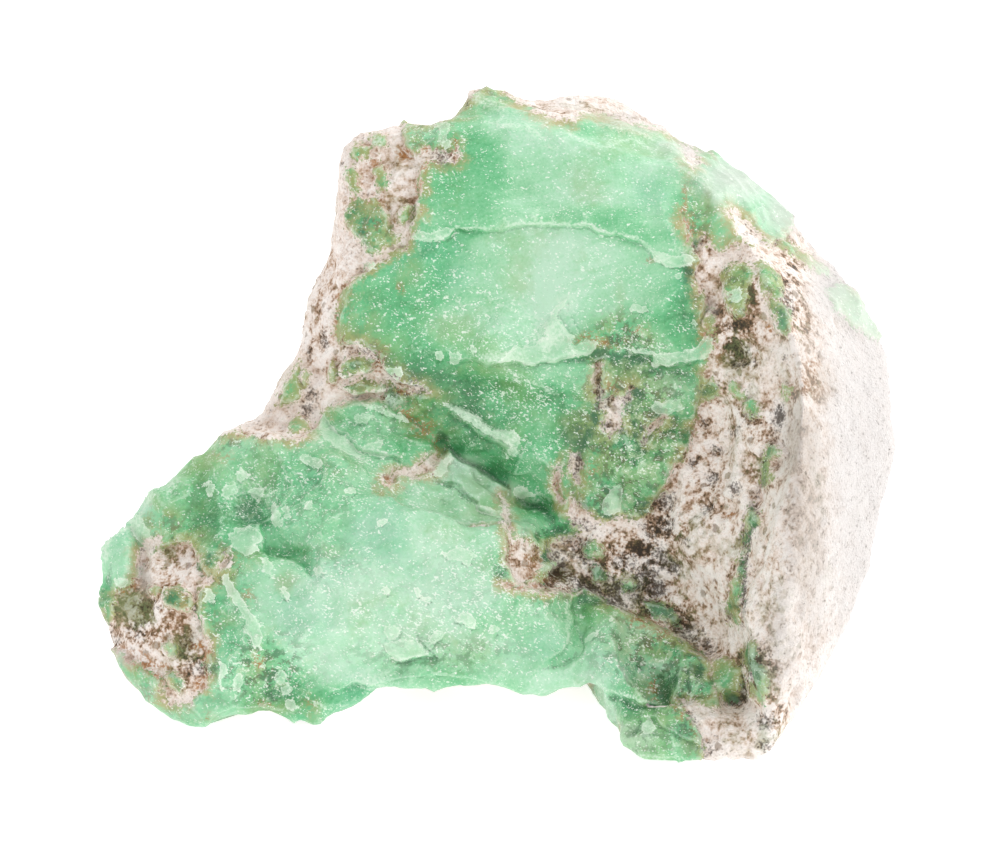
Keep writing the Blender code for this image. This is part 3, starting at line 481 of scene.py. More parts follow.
# Rust, in the cracks that water followed.
RUST_WASHES = washes(
    (655, 688, 8, 12, 1.0), (372, 185, 34, 56, 0.22), (342, 260, 24, 50, 0.18), (170, 600, 36, 50, 0.2),
    (636, 333, 10, 7, 0.9), (405, 156, 10, 8, 0.9), (357, 155, 5, 4, 0.8), (372, 162, 9, 5, 0.7),
    (378, 195, 5, 6, 0.6), (379, 360, 7, 17, 0.95), (388, 482, 6, 6, 0.9), (404, 408, 10, 8, 0.8),
    (424, 428, 16, 12, 0.75), (440, 442, 7, 8, 0.8), (612, 388, 10, 10, 0.7), (197, 645, 9, 6, 0.9),
    (200, 683, 6, 8, 0.9), (145, 664, 20, 5, 0.9), (249, 595, 9, 10, 0.6), (258, 661, 6, 8, 0.95),
    (266, 702, 9, 6, 0.7), (640, 622, 12, 7, 0.7), (660, 634, 7, 7, 0.7), (654, 690, 4, 11, 0.9),
    (768, 330, 6, 7, 0.9), (730, 515, 5, 6, 0.9), (552, 576, 22, 6, 0.75), (401, 290, 6, 8, 0.6),
    (396, 393, 10, 8, 0.7), (225, 456, 12, 9, 0.45), (208, 717, 6, 6, 0.6), (309, 701, 7, 10, 0.5),
    (596, 344, 10, 5, 0.7), (812, 366, 9, 8, 0.6), (805, 386, 9, 7, 0.5), (825, 391, 12, 6, 0.35),
    (840, 500, 10, 18, 0.25), (703, 345, 6, 20, 0.6), (533, 560, 8, 10, 0.4), (148, 695, 14, 12, 0.5),
    (690, 230, 6, 14, 0.7), (330, 336, 6, 8, 0.6), (650, 258, 8, 5, 0.5), (590, 470, 10, 8, 0.5),
    (578, 512, 8, 12, 0.4),
)
RUST_STROKES = strokes(
    (((656, 682), (668, 700), (684, 716), (697, 740)), 3.5, 0.8),
    (((570, 341), (590, 336), (612, 346), (630, 340), (648, 326)), 4.0, 0.8),
    (((112, 646), (132, 652), (152, 662), (172, 668)), 2.5, 0.8),
    (((120, 594), (132, 590), (141, 580), (144, 564)), 2.0, 0.8),
    (((206, 634), (208, 650), (204, 662), (207, 684)), 2.5, 0.9),
    (((340, 290), (336, 312), (338, 336)), 2.5, 0.6),
    (((556, 470), (560, 490), (574, 506)), 2.5, 0.6),
    (((706, 344), (722, 352), (716, 372)), 2.5, 0.5),
    (((412, 158), (430, 150), (448, 152), (460, 160)), 3.5, 0.9),
    (((440, 160), (425, 165), (420, 180), (417, 198)), 3.0, 0.8),
    (((455, 135), (456, 155)), 2.5, 0.8),
    (((120, 655), (140, 664), (152, 672), (166, 681)), 4.0, 0.9),
    (((395, 405), (414, 420), (428, 432), (446, 450)), 4.0, 0.9),
    (((684, 180), (685, 200), (683, 216), (691, 236), (696, 250)), 3.0, 0.7),
    (((500, 584), (520, 587), (545, 585), (570, 590)), 3.0, 0.7),
)

# Deep shade in hollows and dark mineral specks: blackish brown on the rock, bottle green on the stone.
DARK_WASHES = washes(
    (712, 478, 7, 8, 0.8), (736, 488, 7, 8, 0.8), (715, 450, 10, 6, 0.6), (405, 398, 12, 6, 0.6),
    (308, 408, 8, 9, 0.7), (768, 746, 10, 9, 0.6), (684, 730, 14, 12, 0.5), (447, 110, 14, 8, 0.4),
    (752, 664, 12, 26, 0.4), (658, 560, 12, 14, 0.5), (568, 588, 14, 8, 0.4), (780, 418, 10, 12, 0.4),
    (108, 630, 8, 20, 0.4), (605, 398, 26, 14, 0.4), (630, 440, 30, 16, 0.4), (655, 530, 18, 18, 0.55),
    (625, 562, 20, 12, 0.55), (582, 525, 20, 8, 0.5), (566, 577, 24, 9, 0.6), (648, 506, 16, 9, 0.45),
    (750, 418, 13, 7, 0.5), (775, 418, 9, 12, 0.55), (760, 672, 15, 26, 0.4), (690, 742, 10, 12, 0.4),
    (556, 556, 18, 12, 0.6), (582, 584, 18, 9, 0.75), (664, 526, 11, 14, 0.8), (642, 550, 13, 13, 0.85),
    (612, 600, 14, 8, 0.8), (674, 682, 11, 11, 0.7), (588, 546, 10, 8, 0.5), (312, 398, 7, 14, 0.6),
    (778, 420, 7, 22, 0.5), (766, 666, 12, 28, 0.45), (652, 562, 10, 6, 0.8), (645, 573, 12, 8, 0.9),
    (655, 590, 13, 11, 1.0), (615, 590, 14, 7, 0.8), (625, 605, 7, 6, 0.7), (684, 628, 15, 8, 0.8),
    (708, 648, 8, 10, 0.8), (664, 520, 6, 8, 0.8), (685, 540, 7, 6, 0.6), (672, 568, 8, 10, 0.8),
    (708, 508, 7, 8, 0.6), (735, 349, 15, 13, 0.55), (735, 325, 13, 7, 0.6), (740, 363, 11, 7, 0.7),
    (755, 362, 5, 6, 0.7), (705, 425, 6, 7, 0.6), (735, 432, 6, 6, 0.7), (692, 462, 6, 6, 0.6),
    (708, 389, 10, 7, 0.6), (343, 143, 3, 4, 0.8), (339, 163, 3, 3, 0.8), (325, 340, 7, 12, 0.75),
    (308, 350, 3, 8, 0.6), (306, 413, 5, 8, 0.6), (393, 396, 9, 9, 0.8), (443, 438, 6, 8, 0.8),
    (608, 425, 7, 4, 0.7), (556, 574, 14, 5, 0.9), (561, 564, 5, 6, 0.9), (548, 585, 10, 4, 0.7),
    (108, 580, 4, 8, 0.6), (735, 701, 12, 7, 0.95), (744, 690, 4, 16, 0.7), (664, 694, 9, 18, 0.95),
    (700, 675, 6, 11, 0.8), (688, 680, 6, 16, 0.6), (735, 606, 8, 5, 0.7), (728, 616, 4, 6, 0.6),
    (745, 540, 4, 15, 0.6), (742, 568, 4, 8, 0.7), (752, 516, 6, 11, 0.6), (556, 533, 18, 7, 0.6),
    (600, 575, 9, 7, 0.5), (620, 360, 16, 10, 0.6), (604, 352, 12, 5, 0.7), (652, 370, 12, 6, 0.5),
    (678, 372, 14, 5, 0.5), (585, 360, 20, 3, 0.6), (688, 271, 7, 6, 0.8), (388, 361, 4, 4, 0.5),
    (147, 690, 12, 14, 0.5), (146, 606, 20, 9, 0.45), (140, 628, 10, 14, 0.5), (134, 628, 10, 8, 0.5),
    (186, 644, 9, 16, 0.5), (192, 666, 13, 12, 0.5), (109, 574, 5, 12, 0.4), (118, 640, 6, 10, 0.6),
    (590, 600, 20, 7, 0.7), (575, 545, 12, 8, 0.6), (660, 612, 24, 7, 0.7), (640, 356, 12, 4, 0.5),
    (785, 358, 4, 5, 0.5), (636, 668, 8, 4, 0.4), (632, 402, 10, 14, 0.6), (780, 416, 8, 12, 1.0),
    (756, 666, 10, 24, 0.85), (630, 340, 20, 12, 0.65), (444, 156, 14, 12, 0.55), (410, 372, 26, 14, 0.5),
    (576, 440, 16, 30, 0.5), (766, 722, 12, 12, 0.6), (704, 748, 12, 10, 0.55), (448, 110, 12, 8, 0.6),
    (660, 558, 12, 12, 0.8), (500, 574, 10, 10, 0.6), (205, 668, 16, 8, 0.6), (274, 692, 14, 12, 0.6),
    (786, 300, 8, 34, 0.55), (668, 502, 10, 10, 0.7), (697, 245, 6, 8, 0.7),
)
DARK_STROKES = strokes(
    (((618, 590), (636, 588), (652, 580), (664, 566), (668, 550)), 5.0, 0.8),
    (((640, 600), (664, 606), (690, 624), (712, 642)), 4.0, 0.5),
    (((758, 508), (750, 540), (747, 570), (744, 600), (741, 626)), 3.0, 0.8),
    (((360, 342), (385, 358), (405, 374), (428, 392)), 13.0, 0.45),
    (((590, 352), (606, 356), (626, 356), (648, 360)), 7.0, 0.75),
    (((606, 372), (600, 392), (596, 412), (588, 436), (580, 456), (574, 480)), 5.0, 0.75),
    (((634, 380), (640, 400), (634, 424), (640, 448), (632, 470)), 5.0, 0.65),
    (((570, 486), (580, 502), (596, 512), (616, 518)), 3.5, 0.5),
    (((560, 540), (580, 540), (600, 534), (622, 530)), 4.0, 0.35),
    (((258, 548), (270, 552), (286, 554), (298, 557)), 3.0, 0.4),
    (((545, 578), (565, 576), (585, 584), (605, 594), (625, 606)), 6.0, 0.8),
    (((442, 442), (456, 454), (472, 466), (492, 477), (506, 486), (513, 490)), 2.5, 0.6),
    (((430, 482), (446, 485), (459, 491), (469, 500), (474, 506)), 2.0, 0.6),
    (((445, 414), (462, 424), (478, 436), (498, 447)), 2.0, 0.55),
    (((518, 499), (538, 507), (558, 518)), 3.5, 0.75),
    (((412, 633), (424, 641), (434, 651), (441, 660)), 1.8, 0.5),
    (((386, 661), (404, 665), (430, 660), (442, 660)), 2.0, 0.35),
    (((604, 695), (620, 702), (640, 707), (660, 711)), 3.0, 0.7),
    (((640, 712), (641, 732), (628, 736)), 2.0, 0.6),
    (((544, 668), (560, 664), (574, 660), (581, 652)), 2.5, 0.5),
    (((776, 430), (766, 466), (757, 496), (750, 530), (744, 566), (736, 596)), 3.0, 0.5),
    (((560, 362), (580, 358), (600, 350)), 2.5, 0.7),
    (((640, 357), (652, 358), (656, 369), (680, 367)), 2.0, 0.5),
    (((203, 556), (222, 552), (226, 542)), 3.0, 0.5),
    (((556, 530), (588, 562), (618, 588), (652, 606), (684, 630), (712, 656)), 9.0, 0.65),
    (((350, 346), (372, 352), (392, 368), (415, 384)), 7.0, 0.35),
    (((682, 704), (694, 722), (703, 745)), 3.5, 0.45),
    (((736, 214), (752, 236), (790, 250), (812, 262), (835, 275), (864, 312)), 2.0, 0.3),
    (((128, 532), (140, 546), (142, 562), (139, 578)), 1.5, 0.4),
)

# Milky green: thin bleached edges, frills and flow lines, and painted highlights on lit lips and lower edges.
PALE_WASHES = washes(
    (532, 500, 18, 7, 0.45), (318, 436, 14, 12, 0.4), (455, 440, 24, 10, 0.2), (600, 700, 10, 20, 0.4),
    (725, 182, 40, 20, 0.3), (855, 310, 40, 34, 0.3), (655, 128, 40, 12, 0.5), (240, 500, 30, 30, 0.25),
    (690, 250, 20, 14, 0.4), (548, 335, 22, 16, 0.6), (505, 356, 30, 6, 0.7), (170, 487, 8, 14, 0.5),
    (136, 530, 12, 14, 0.5), (565, 300, 12, 14, 0.5), (513, 453, 9, 6, 0.6), (442, 465, 8, 11, 0.7),
    (648, 729, 8, 7, 0.6), (370, 682, 28, 9, 0.5), (375, 142, 10, 8, 0.6), (365, 372, 10, 5, 0.4),
    (120, 582, 5, 5, 0.7), (155, 688, 12, 14, 0.4), (690, 160, 26, 10, 0.3), (545, 566, 12, 6, 0.6),
    (240, 482, 16, 8, 0.35), (228, 610, 8, 14, 0.4), (736, 296, 6, 7, 0.7), (315, 588, 12, 8, 0.4),
    (758, 692, 9, 12, 0.3),
)
PALE_STROKES = strokes(
    (((103, 562), (105, 544), (114, 532), (128, 526), (140, 524)), 4.0, 0.8),
    (((326, 408), (350, 399), (384, 397), (404, 408)), 6.0, 0.7),
    (((448, 407), (470, 418), (495, 433), (516, 439)), 6.0, 0.65),
    (((152, 490), (141, 512), (136, 530), (140, 545)), 5.0, 0.6),
    (((318, 418), (328, 436), (345, 450), (372, 460)), 7.0, 0.5),
    (((470, 98), (490, 104), (510, 108)), 7.0, 0.55),
    (((600, 122), (640, 130), (672, 146), (700, 170)), 7.0, 0.5),
    (((560, 106), (590, 112), (620, 118)), 5.0, 0.4),
    (((498, 227), (508, 224), (540, 223), (580, 224), (600, 229), (620, 235)), 2.0, 0.85),
    (((620, 235), (640, 238), (652, 248)), 2.0, 0.6),
    (((413, 239), (440, 238), (456, 228), (480, 228), (500, 227)), 1.8, 0.6),
    (((505, 224), (504, 215)), 2.5, 0.6),
    (((537, 222), (538, 208)), 2.5, 0.6),
    (((553, 222), (555, 213)), 2.0, 0.5),
    (((585, 224), (588, 215)), 2.0, 0.4),
    (((520, 120), (534, 130), (545, 138)), 2.5, 0.6),
    (((545, 145), (560, 152)), 2.5, 0.5),
    (((480, 122), (510, 126), (545, 134)), 3.0, 0.5),
    (((560, 128), (580, 140), (600, 147), (622, 141), (640, 142), (660, 155)), 2.5, 0.6),
    (((660, 155), (690, 172), (705, 185), (725, 205)), 2.5, 0.45),
    (((535, 490), (544, 497), (552, 503)), 1.8, 0.7),
    (((508, 375), (522, 383)), 2.0, 0.6),
    (((562, 375), (572, 378)), 2.0, 0.5),
    (((500, 365), (515, 375), (540, 386), (562, 397)), 2.5, 0.5),
    (((566, 600), (569, 620), (568, 640), (558, 652)), 2.5, 0.6),
    (((444, 403), (466, 412), (482, 421), (502, 431), (514, 430)), 1.8, 0.7),
    (((450, 450), (462, 459), (476, 469), (492, 479), (505, 488)), 1.8, 0.6),
    (((256, 553), (280, 559), (298, 566), (306, 576), (318, 583)), 2.0, 0.45),
    (((222, 452), (216, 480), (222, 520), (227, 548)), 2.5, 0.35),
    (((604, 689), (620, 695), (640, 700), (660, 703)), 2.0, 0.5),
    (((626, 752), (650, 757), (690, 757)), 2.0, 0.5),
    (((640, 740), (670, 743), (695, 750)), 2.0, 0.4),
    (((440, 290), (470, 305), (500, 312)), 3.5, 0.3),
    (((480, 290), (520, 316), (545, 320)), 3.5, 0.35),
    (((400, 345), (430, 352), (470, 350)), 3.0, 0.3),
    (((345, 673), (370, 676), (400, 673)), 2.5, 0.5),
    (((310, 703), (330, 707), (345, 700)), 3.0, 0.5),
    (((190, 724), (215, 724), (240, 716)), 3.0, 0.4),
)

# How thickly white crushed dust lies in the pores of the green stone.
DUST_WASHES = washes(
    (430, 160, 26, 40, 0.5), (440, 300, 70, 44, 0.55), (500, 340, 60, 20, 0.6), (530, 400, 60, 34, 0.9),
    (545, 455, 34, 34, 0.7), (640, 440, 50, 60, 0.6), (500, 590, 70, 60, 0.95), (440, 620, 60, 30, 0.8),
    (330, 600, 60, 60, 0.55), (300, 480, 70, 34, 0.7), (380, 480, 60, 30, 0.7), (240, 640, 30, 40, 0.6),
    (630, 670, 40, 50, 0.6), (600, 200, 90, 30, 0.2), (600, 290, 70, 40, 0.25), (640, 345, 40, 20, 0.6),
    (375, 430, 40, 20, 0.5), (280, 690, 40, 20, 0.7),
)

# How much of the host rock's sugar is brown, from clean cream (0) to mostly brown (1).
BROWN_WASHES = washes(
    (788, 285, 15, 48, 0.7), (668, 528, 26, 24, 0.95), (197, 656, 8, 14, 0.9), (185, 686, 10, 8, 0.8),
    (816, 382, 16, 26, 0.95), (804, 480, 22, 160, 0.65), (780, 600, 22, 80, 0.4), (735, 735, 44, 16, 0.25),
    (770, 700, 16, 60, 0.8), (798, 320, 14, 34, 0.8), (172, 565, 30, 22, 0.7), (600, 105, 90, 16, 0.12),
    (130, 600, 30, 24, 1.0), (385, 200, 40, 60, 0.25), (330, 320, 26, 70, 0.4), (520, 556, 24, 24, 0.55),
    (440, 108, 40, 14, 1.0), (630, 566, 60, 34, 1.0), (700, 600, 40, 60, 0.35), (735, 335, 26, 42, 0.8),
    (660, 612, 40, 24, 0.9), (620, 372, 22, 16, 0.95), (700, 480, 40, 70, 0.5), (150, 622, 36, 34, 1.0),
    (745, 672, 30, 30, 0.8), (760, 450, 20, 60, 0.6), (180, 652, 14, 30, 0.8), (335, 350, 18, 44, 0.35),
    (380, 388, 30, 8, 0.2), (705, 270, 16, 44, 0.25), (556, 576, 20, 10, 0.9), (396, 394, 14, 10, 0.9),
    (730, 400, 34, 34, 0.55), (745, 300, 24, 40, 0.6), (740, 570, 14, 50, 0.45), (605, 400, 12, 30, 0.4),
    (262, 436, 30, 6, 0.4),
)

# Painted glare: an even pale grey where strong light washes out the faces turned to it, on the right flank
# and along the top.
WASHOUT_WASHES = washes(
    (745, 178, 50, 26, 1.0), (788, 210, 28, 28, 1.0), (690, 148, 34, 10, 0.7), (640, 120, 50, 14, 0.4),
    (868, 460, 66, 320, 1.0), (812, 540, 30, 150, 0.9), (806, 450, 26, 60, 0.9), (144, 578, 7, 18, 0.8),
    (124, 659, 14, 9, 0.6), (834, 290, 32, 50, 1.0), (710, 308, 8, 10, 0.6), (808, 350, 18, 40, 0.5),
    (790, 640, 26, 70, 0.7),
)

# Where green stone and rock are crumbled into one another.
CRUMB_WASHES = washes(
    (638, 430, 62, 86, 1.0), (620, 500, 40, 26, 1.0), (655, 650, 60, 40, 0.9), (560, 560, 56, 40, 1.0),
    (180, 500, 44, 60, 0.3), (178, 540, 40, 24, 0.8), (262, 670, 50, 40, 0.9), (235, 610, 30, 50, 0.4),
    (690, 690, 30, 40, 0.9), (620, 335, 34, 22, 0.8), (400, 400, 40, 24, 0.8), (355, 370, 24, 20, 0.8),
    (350, 300, 18, 60, 0.25), (430, 140, 30, 24, 0.5), (695, 215, 16, 50, 0.6), (735, 290, 20, 40, 0.8),
    (775, 300, 20, 50, 0.7), (290, 490, 80, 60, 0.4), (480, 90, 40, 20, 0.5), (220, 570, 30, 26, 0.7),
    (700, 300, 12, 50, 0.4), (650, 735, 50, 30, 0.55), (375, 430, 50, 24, 0.3), (480, 420, 70, 50, 0.3),
    (750, 540, 16, 100, 0.8), (230, 440, 60, 16, 0.6), (330, 560, 60, 30, 0.3), (440, 655, 90, 20, 0.5),
    (450, 600, 110, 60, 0.15), (400, 310, 70, 40, 0.15), (855, 310, 40, 30, 0.5), (180, 640, 50, 70, 0.7),
    (372, 230, 26, 30, 0.7), (560, 600, 50, 20, 0.5), (770, 222, 30, 20, 0.4), (690, 150, 50, 24, 0.15),
)

# Where the green broke clean, as glass does, with no chips.
CALM_WASHES = washes(
    (850, 470, 56, 260, 1.0), (800, 270, 60, 60, 1.0), (600, 105, 90, 16, 0.8), (560, 275, 110, 60, 1.0),
    (600, 180, 110, 44, 1.0), (470, 180, 50, 46, 0.9), (420, 310, 70, 40, 0.8), (420, 600, 90, 44, 0.6),
    (500, 390, 60, 34, 0.7), (500, 650, 50, 20, 0.6), (204, 500, 14, 40, 0.8), (122, 562, 16, 22, 0.8),
    (480, 545, 50, 24, 0.6), (370, 430, 34, 16, 0.6),
)


Socket = bpy.types.NodeSocket
Node = bpy.types.Node
Key = int | str


def linear(colour: str) -> tuple[float, float, float, float]:
    """Turns an sRGB hex colour, such as 8cc89d, to linear light with full opacity.

    Args:
        colour: Six hex digits: red, green and blue.

    Returns:
        The four linear channels.
    """
    channels = []
    for start in (0, 2, 4):
        share = int(colour[start : start + 2], 16) / 255
        channels.append(share / 12.92 if share <= 0.04045 else ((share + 0.055) / 1.055) ** 2.4)
    return (*channels, 1.0)


def pick(sockets: Sequence[Socket], key: Key = 0) -> Socket:
    """The socket of that place or name, among those in use."""
    in_use = [socket for socket in sockets if socket.enabled]
    return in_use[key] if isinstance(key, int) else next(socket for socket in in_use if socket.name == key)


def add_node(
    tree: bpy.types.NodeTree,
    kind: str,
    settings: dict[str, object] | None = None,
    inputs: dict[Key, object] | None = None,
    stops: Sequence[tuple[float, str]] = (),
) -> Node:
    """Adds one node with its settings and links.

    Args:
        tree: The material's node tree.
        kind: Blender's name for the kind of node.
        settings: The node's own options.
        inputs: A constant, a socket or a node for each input, by place or name. A node gives its first
            output.
        stops: A colour ramp's places and hex colours.

    Returns:
        The new node.
    """
    node = tree.nodes.new(kind)
    for name, value in (settings or {}).items():
        setattr(node, name, value)
    for key, value in (inputs or {}).items():
        socket = pick(node.inputs, key)
        if isinstance(value, Node):
            value = pick(value.outputs)
        if isinstance(value, Socket):
            tree.links.new(value, socket)
        else:
            socket.default_value = linear(value) if isinstance(value, str) else value
    if stops:
        ramp = node.color_ramp.elements
        while len(ramp) < len(stops):
            ramp.new(0.5)
        for element, (place, colour) in zip(ramp, stops):
            element.position = place
            element.color = linear(colour)
    return node


class Ramp(NamedTuple):
    """An eased rise from 0 to top while a value goes from low to high; low may be the greater."""

    low: float
    high: float
    top: float = 1.0

    def at(self, values: np.ndarray) -> np.ndarray:
        """The ramp's height at each value."""
        share = np.clip((values - self.low) / (self.high - self.low), 0.0, 1.0)
        return self.top * (share * share * (3.0 - 2.0 * share))


class Speckle(NamedTuple):
    """Scattered grains: a place's distance from its grain's middle, and three numbers of the grain's own."""

    away: Socket
    first: Socket
    second: Socket
    third: Socket


class Variation(NamedTuple):
    """The chance variation that all the finishes share.

    Fields:
        dapple: Cloudy variation half a millimetre across.
        fleck: Cloudy variation as fine as shows.
        sugar: The host rock's grains, which are mixed with the green where it is crumbled.
    """

    dapple: Node
    fleck: Node
    sugar: Speckle


@dataclass(frozen=True)
class Ground:
    """What every finish on the stone starts from: its node tree and places on it in millimetres."""

    tree: bpy.types.NodeTree
    in_mm: Node

    def painted(self, name: str) -> Socket:
        """A value that the skin was painted with."""
        return pick(add_node(self.tree, "ShaderNodeAttribute", {"attribute_name": name}).outputs, "Fac")

    def mottle(self, size_mm: float, detail: float, place: Node | None = None) -> Node:
        """Cloudy variation about zero, mostly within 0.3 of it, whose clouds are size_mm across."""
        inputs = {"Vector": place or self.in_mm, "Scale": 1 / size_mm, "Detail": detail, "Roughness": 0.6}
        return self.sum(add_node(self.tree, "ShaderNodeTexNoise", {}, inputs), -0.5)

    def speckle(self, spacing_mm: float, place: Node | None = None) -> Speckle:
        """One grain in each small cube of space, whose sides are spacing_mm.

        Args:
            spacing_mm: The cubes' sides.
            place: Where on the stone, if not straight from its own places.

        Returns:
            The grain of the cube that each place is in.
        """
        vector = "ShaderNodeVectorMath"
        inputs = {0: place or self.in_mm, "Scale": 1 / spacing_mm}
        scaled = add_node(self.tree, vector, {"operation": "SCALE"}, inputs)
        cube = add_node(self.tree, vector, {"operation": "FLOOR"}, {0: scaled})
        inside = add_node(self.tree, vector, {"operation": "FRACTION"}, {0: scaled})
        chance = pick(add_node(self.tree, "ShaderNodeTexWhiteNoise", {}, {"Vector": cube}).outputs, "Color")
        # The middle keeps within 0.3 and 0.7 of each side, so that a grain stays in its own cube.
        inputs = {0: chance, 1: (0.4, 0.4, 0.4), 2: (0.3, 0.3, 0.3)}
        middle = add_node(self.tree, vector, {"operation": "MULTIPLY_ADD"}, inputs)
        distance = add_node(self.tree, vector, {"operation": "DISTANCE"}, {0: inside, 1: middle})
        parts = add_node(self.tree, "ShaderNodeSeparateColor", {}, {"Color": chance}).outputs
        return Speckle(pick(distance.outputs, "Value"), pick(parts, 0), pick(parts, 1), pick(parts, 2))

    def sum(self, first: object, second: object, share: float = 1.0) -> Node:
        """first plus second times share."""
        inputs = {0: second, 1: share, 2: first}
        return add_node(self.tree, "ShaderNodeMath", {"operation": "MULTIPLY_ADD"}, inputs)

    def product(self, first: object, second: object) -> Node:
        """first times second."""
        return add_node(self.tree, "ShaderNodeMath", {"operation": "MULTIPLY"}, {0: first, 1: second})

    def below(self, first: object, second: object) -> Node:
        """1 where first is below second, otherwise 0."""
        return add_node(self.tree, "ShaderNodeMath", {"operation": "LESS_THAN"}, {0: first, 1: second})

    def ease(self, value: object, ramp: Ramp) -> Node:
        """The ramp's height at the value.

        Args:
            value: A number or a socket.
            ramp: How the height rises.

        Returns:
            The height.
        """
        settings = {"interpolation_type": "SMOOTHSTEP", "clamp": True}
        inputs = {"Value": value, "From Min": ramp.low, "From Max": ramp.high, "To Max": ramp.top}
        return add_node(self.tree, "ShaderNodeMapRange", settings, inputs)

    def cover(self, under: object, over: object, share: object) -> Node:
        """The colour under with the colour over laid on it, by share."""
        settings = {"data_type": "RGBA", "clamp_factor": True}
        return add_node(self.tree, "ShaderNodeMix", settings, {"Factor": share, "A": under, "B": over})


@dataclass(frozen=True)
class WaxyVariscite:
    """Variscite, a hydrated aluminium phosphate, broken by a hammer.

    Its grain is too fine to see, so a break is smooth and waxy and light sinks a little way in. The colour
    runs from bottle green to mint in soft clouds, and crushed grains lie on it as white dust.
    """

    tones: tuple[tuple[float, str], ...] = (
        (0.0, "33794a"),
        (0.14, "45935c"),
        (0.34, "5db37a"),
        (0.5, "74be8a"),
        (0.7, "92cca0"),
        (0.84, "a2d3af"),
        (1.0, "b6dabf"),
    )
    teal: str = "5cb48f"
    moss: str = "86ab62"
    olive: str = "8ba05f"
    rust: str = "a0703a"
    shade: str = "2c6640"
    milk: str = "cde4cd"
    dust: str = "e8f0e4"
    fringe: str = "b09a64"
    # Painted glare: the even pale grey-green of faces that strong light washes out.
    washout: str = "bac5b7"
    crumb: str = "2f6139"
    stained_crumb: str = "625c38"
    meal: str = "c3d2ae"
    dapple_mm: float = 0.5
    fleck_mm: float = 0.17
    # Flow lines and crushed grains are drawn out along one direction, down to the right.
    flow_turn: float = math.radians(24)
    flow_stretch: float = 6.0
    flow_mm: float = 0.45
    dust_stretch: float = 1.6
    crumb_mm: float = 0.75
    dust_mm: float = 0.3
    grit_mm: float = 0.11
    # How far clouds, dapples, flow lines and flecks sway the tone, which runs from -1 to 1.
    cloud_sway: float = 0.25
    dapple_sway: float = 0.2
    flow_sway: float = 0.8
    fleck_sway: float = 0.75
    teal_cover: Ramp = Ramp(0.1, 0.9, 0.3)
    moss_cover: Ramp = Ramp(-0.1, -0.9, 0.4)
    # Stains come in patches, and a tan fringe lies along the border of the host rock.
    patch_grain: float = 2.0
    patch_cover: Ramp = Ramp(-1.1, 0.3)
    fringe_wander: float = 0.4
    fringe_cover: Ramp = Ramp(-0.85, 0.05, 0.8)
    crumb_contrast: float = 5.0
    crumb_fleck: float = 3.0
    crumb_sugar: float = 0.35
    olive_lean: float = 0.15
    stained_cover: Ramp = Ramp(-0.1, 0.2)
    crumb_cover: Ramp = Ramp(0.0, 0.45, 0.85)
    meal_cover: Ramp = Ramp(-0.25, -0.75, 0.6)
    crack_cover: Ramp = Ramp(-0.08, 0.1)
    shade_fleck: float = 1.2
    shade_crumbs: float = 2.0
    shade_cover: Ramp = Ramp(0.12, 0.85, 0.85)
    # Painted shade in the hollows, and painted highlights on proud edges.
    hollow_cover: Ramp = Ramp(-0.4, -1.0, 0.25)
    milk_fleck: float = 1.2
    milk_cover: Ramp = Ramp(0.1, 0.9, 0.8)
    edge_fleck: float = 1.5
    edge_cover: Ramp = Ramp(0.35, 1.0, 0.35)
    # How thickly the painted glare covers the green.
    washout_share: float = 0.88
    # Fine dust drifts where it is drawn thick, and single specks lie between the drifts.
    drift_dapple: float = 0.5
    drift_density: float = 0.09
    drift_cover: Ramp = Ramp(0.13, 0.25, 0.8)
    fewest_specks: float = 0.03
    more_specks: float = 0.25
    largest_speck: float = 0.31
    smallest_share: float = 0.3
    speck_raggedness: float = 0.35
    speck_edge: Ramp = Ramp(-0.06, 0.08)
    speck_cover: float = 0.64

    def drawn_out(self, ground: Ground, turn: float, stretch: float) -> Node:
        """Places on the stone turned about the fore-and-aft axis and squeezed along the flow.

        Args:
            ground: What the finish starts from.
            turn: The flow's direction, as an angle.
            stretch: How much longer than wide things come out.

        Returns:
            The new places.
        """
        settings = {"rotation_type": "Y_AXIS"}
        inputs = {"Vector": ground.in_mm, "Angle": turn}
        turned = add_node(ground.tree, "ShaderNodeVectorRotate", settings, inputs)
        inputs = {0: turned, 1: (1 / stretch, 1.0, 1.0)}
        return add_node(ground.tree, "ShaderNodeVectorMath", {"operation": "MULTIPLY"}, inputs)

    def specks(self, ground: Ground, grains: Speckle, fleck: Node, density: Node) -> Node:
        """White specks on some of the grains, more of them small than large.

        Args:
            ground: What the finish starts from.
            grains: The grains that may bear a speck.
            fleck: Cloudy variation that makes them ragged.
            density: Share of them that do.

        Returns:
            1 on a speck and 0 off it.
        """
        smallest = self.smallest_share * self.largest_speck
        size = ground.product(grains.second, ground.product(grains.second, grains.second))
        radius = ground.sum(smallest, size, self.largest_speck - smallest)
        inside = ground.sum(ground.sum(radius, grains.away, -1.0), fleck, self.speck_raggedness)
        return ground.product(ground.ease(inside, self.speck_edge), ground.below(grains.first, density))

    def body(self, ground: Ground, variation: Variation) -> Node:
        """The clean stone's green, from deep to minty, with a drift towards teal and moss.

        Args:
            ground: What the finish starts from.
            variation: The chance variation that all the finishes share.

        Returns:
            The clean green.
        """
        dapple, fleck, _ = variation
        flow = ground.mottle(self.flow_mm, 2.0, self.drawn_out(ground, self.flow_turn, self.flow_stretch))
        tone = ground.sum(ground.painted("tone"), ground.painted("cloud"), self.cloud_sway)
        tone = ground.sum(tone, dapple, self.dapple_sway)
        tone = ground.sum(tone, flow, self.flow_sway)
        tone = ground.sum(0.5, ground.sum(tone, fleck, self.fleck_sway), 0.5)
        green = add_node(ground.tree, "ShaderNodeValToRGB", {}, {0: tone}, self.tones)
        drift = ground.sum(ground.painted("hue"), dapple)
        green = ground.cover(green, self.teal, ground.ease(drift, self.teal_cover))
        return ground.cover(green, self.moss, ground.ease(drift, self.moss_cover))

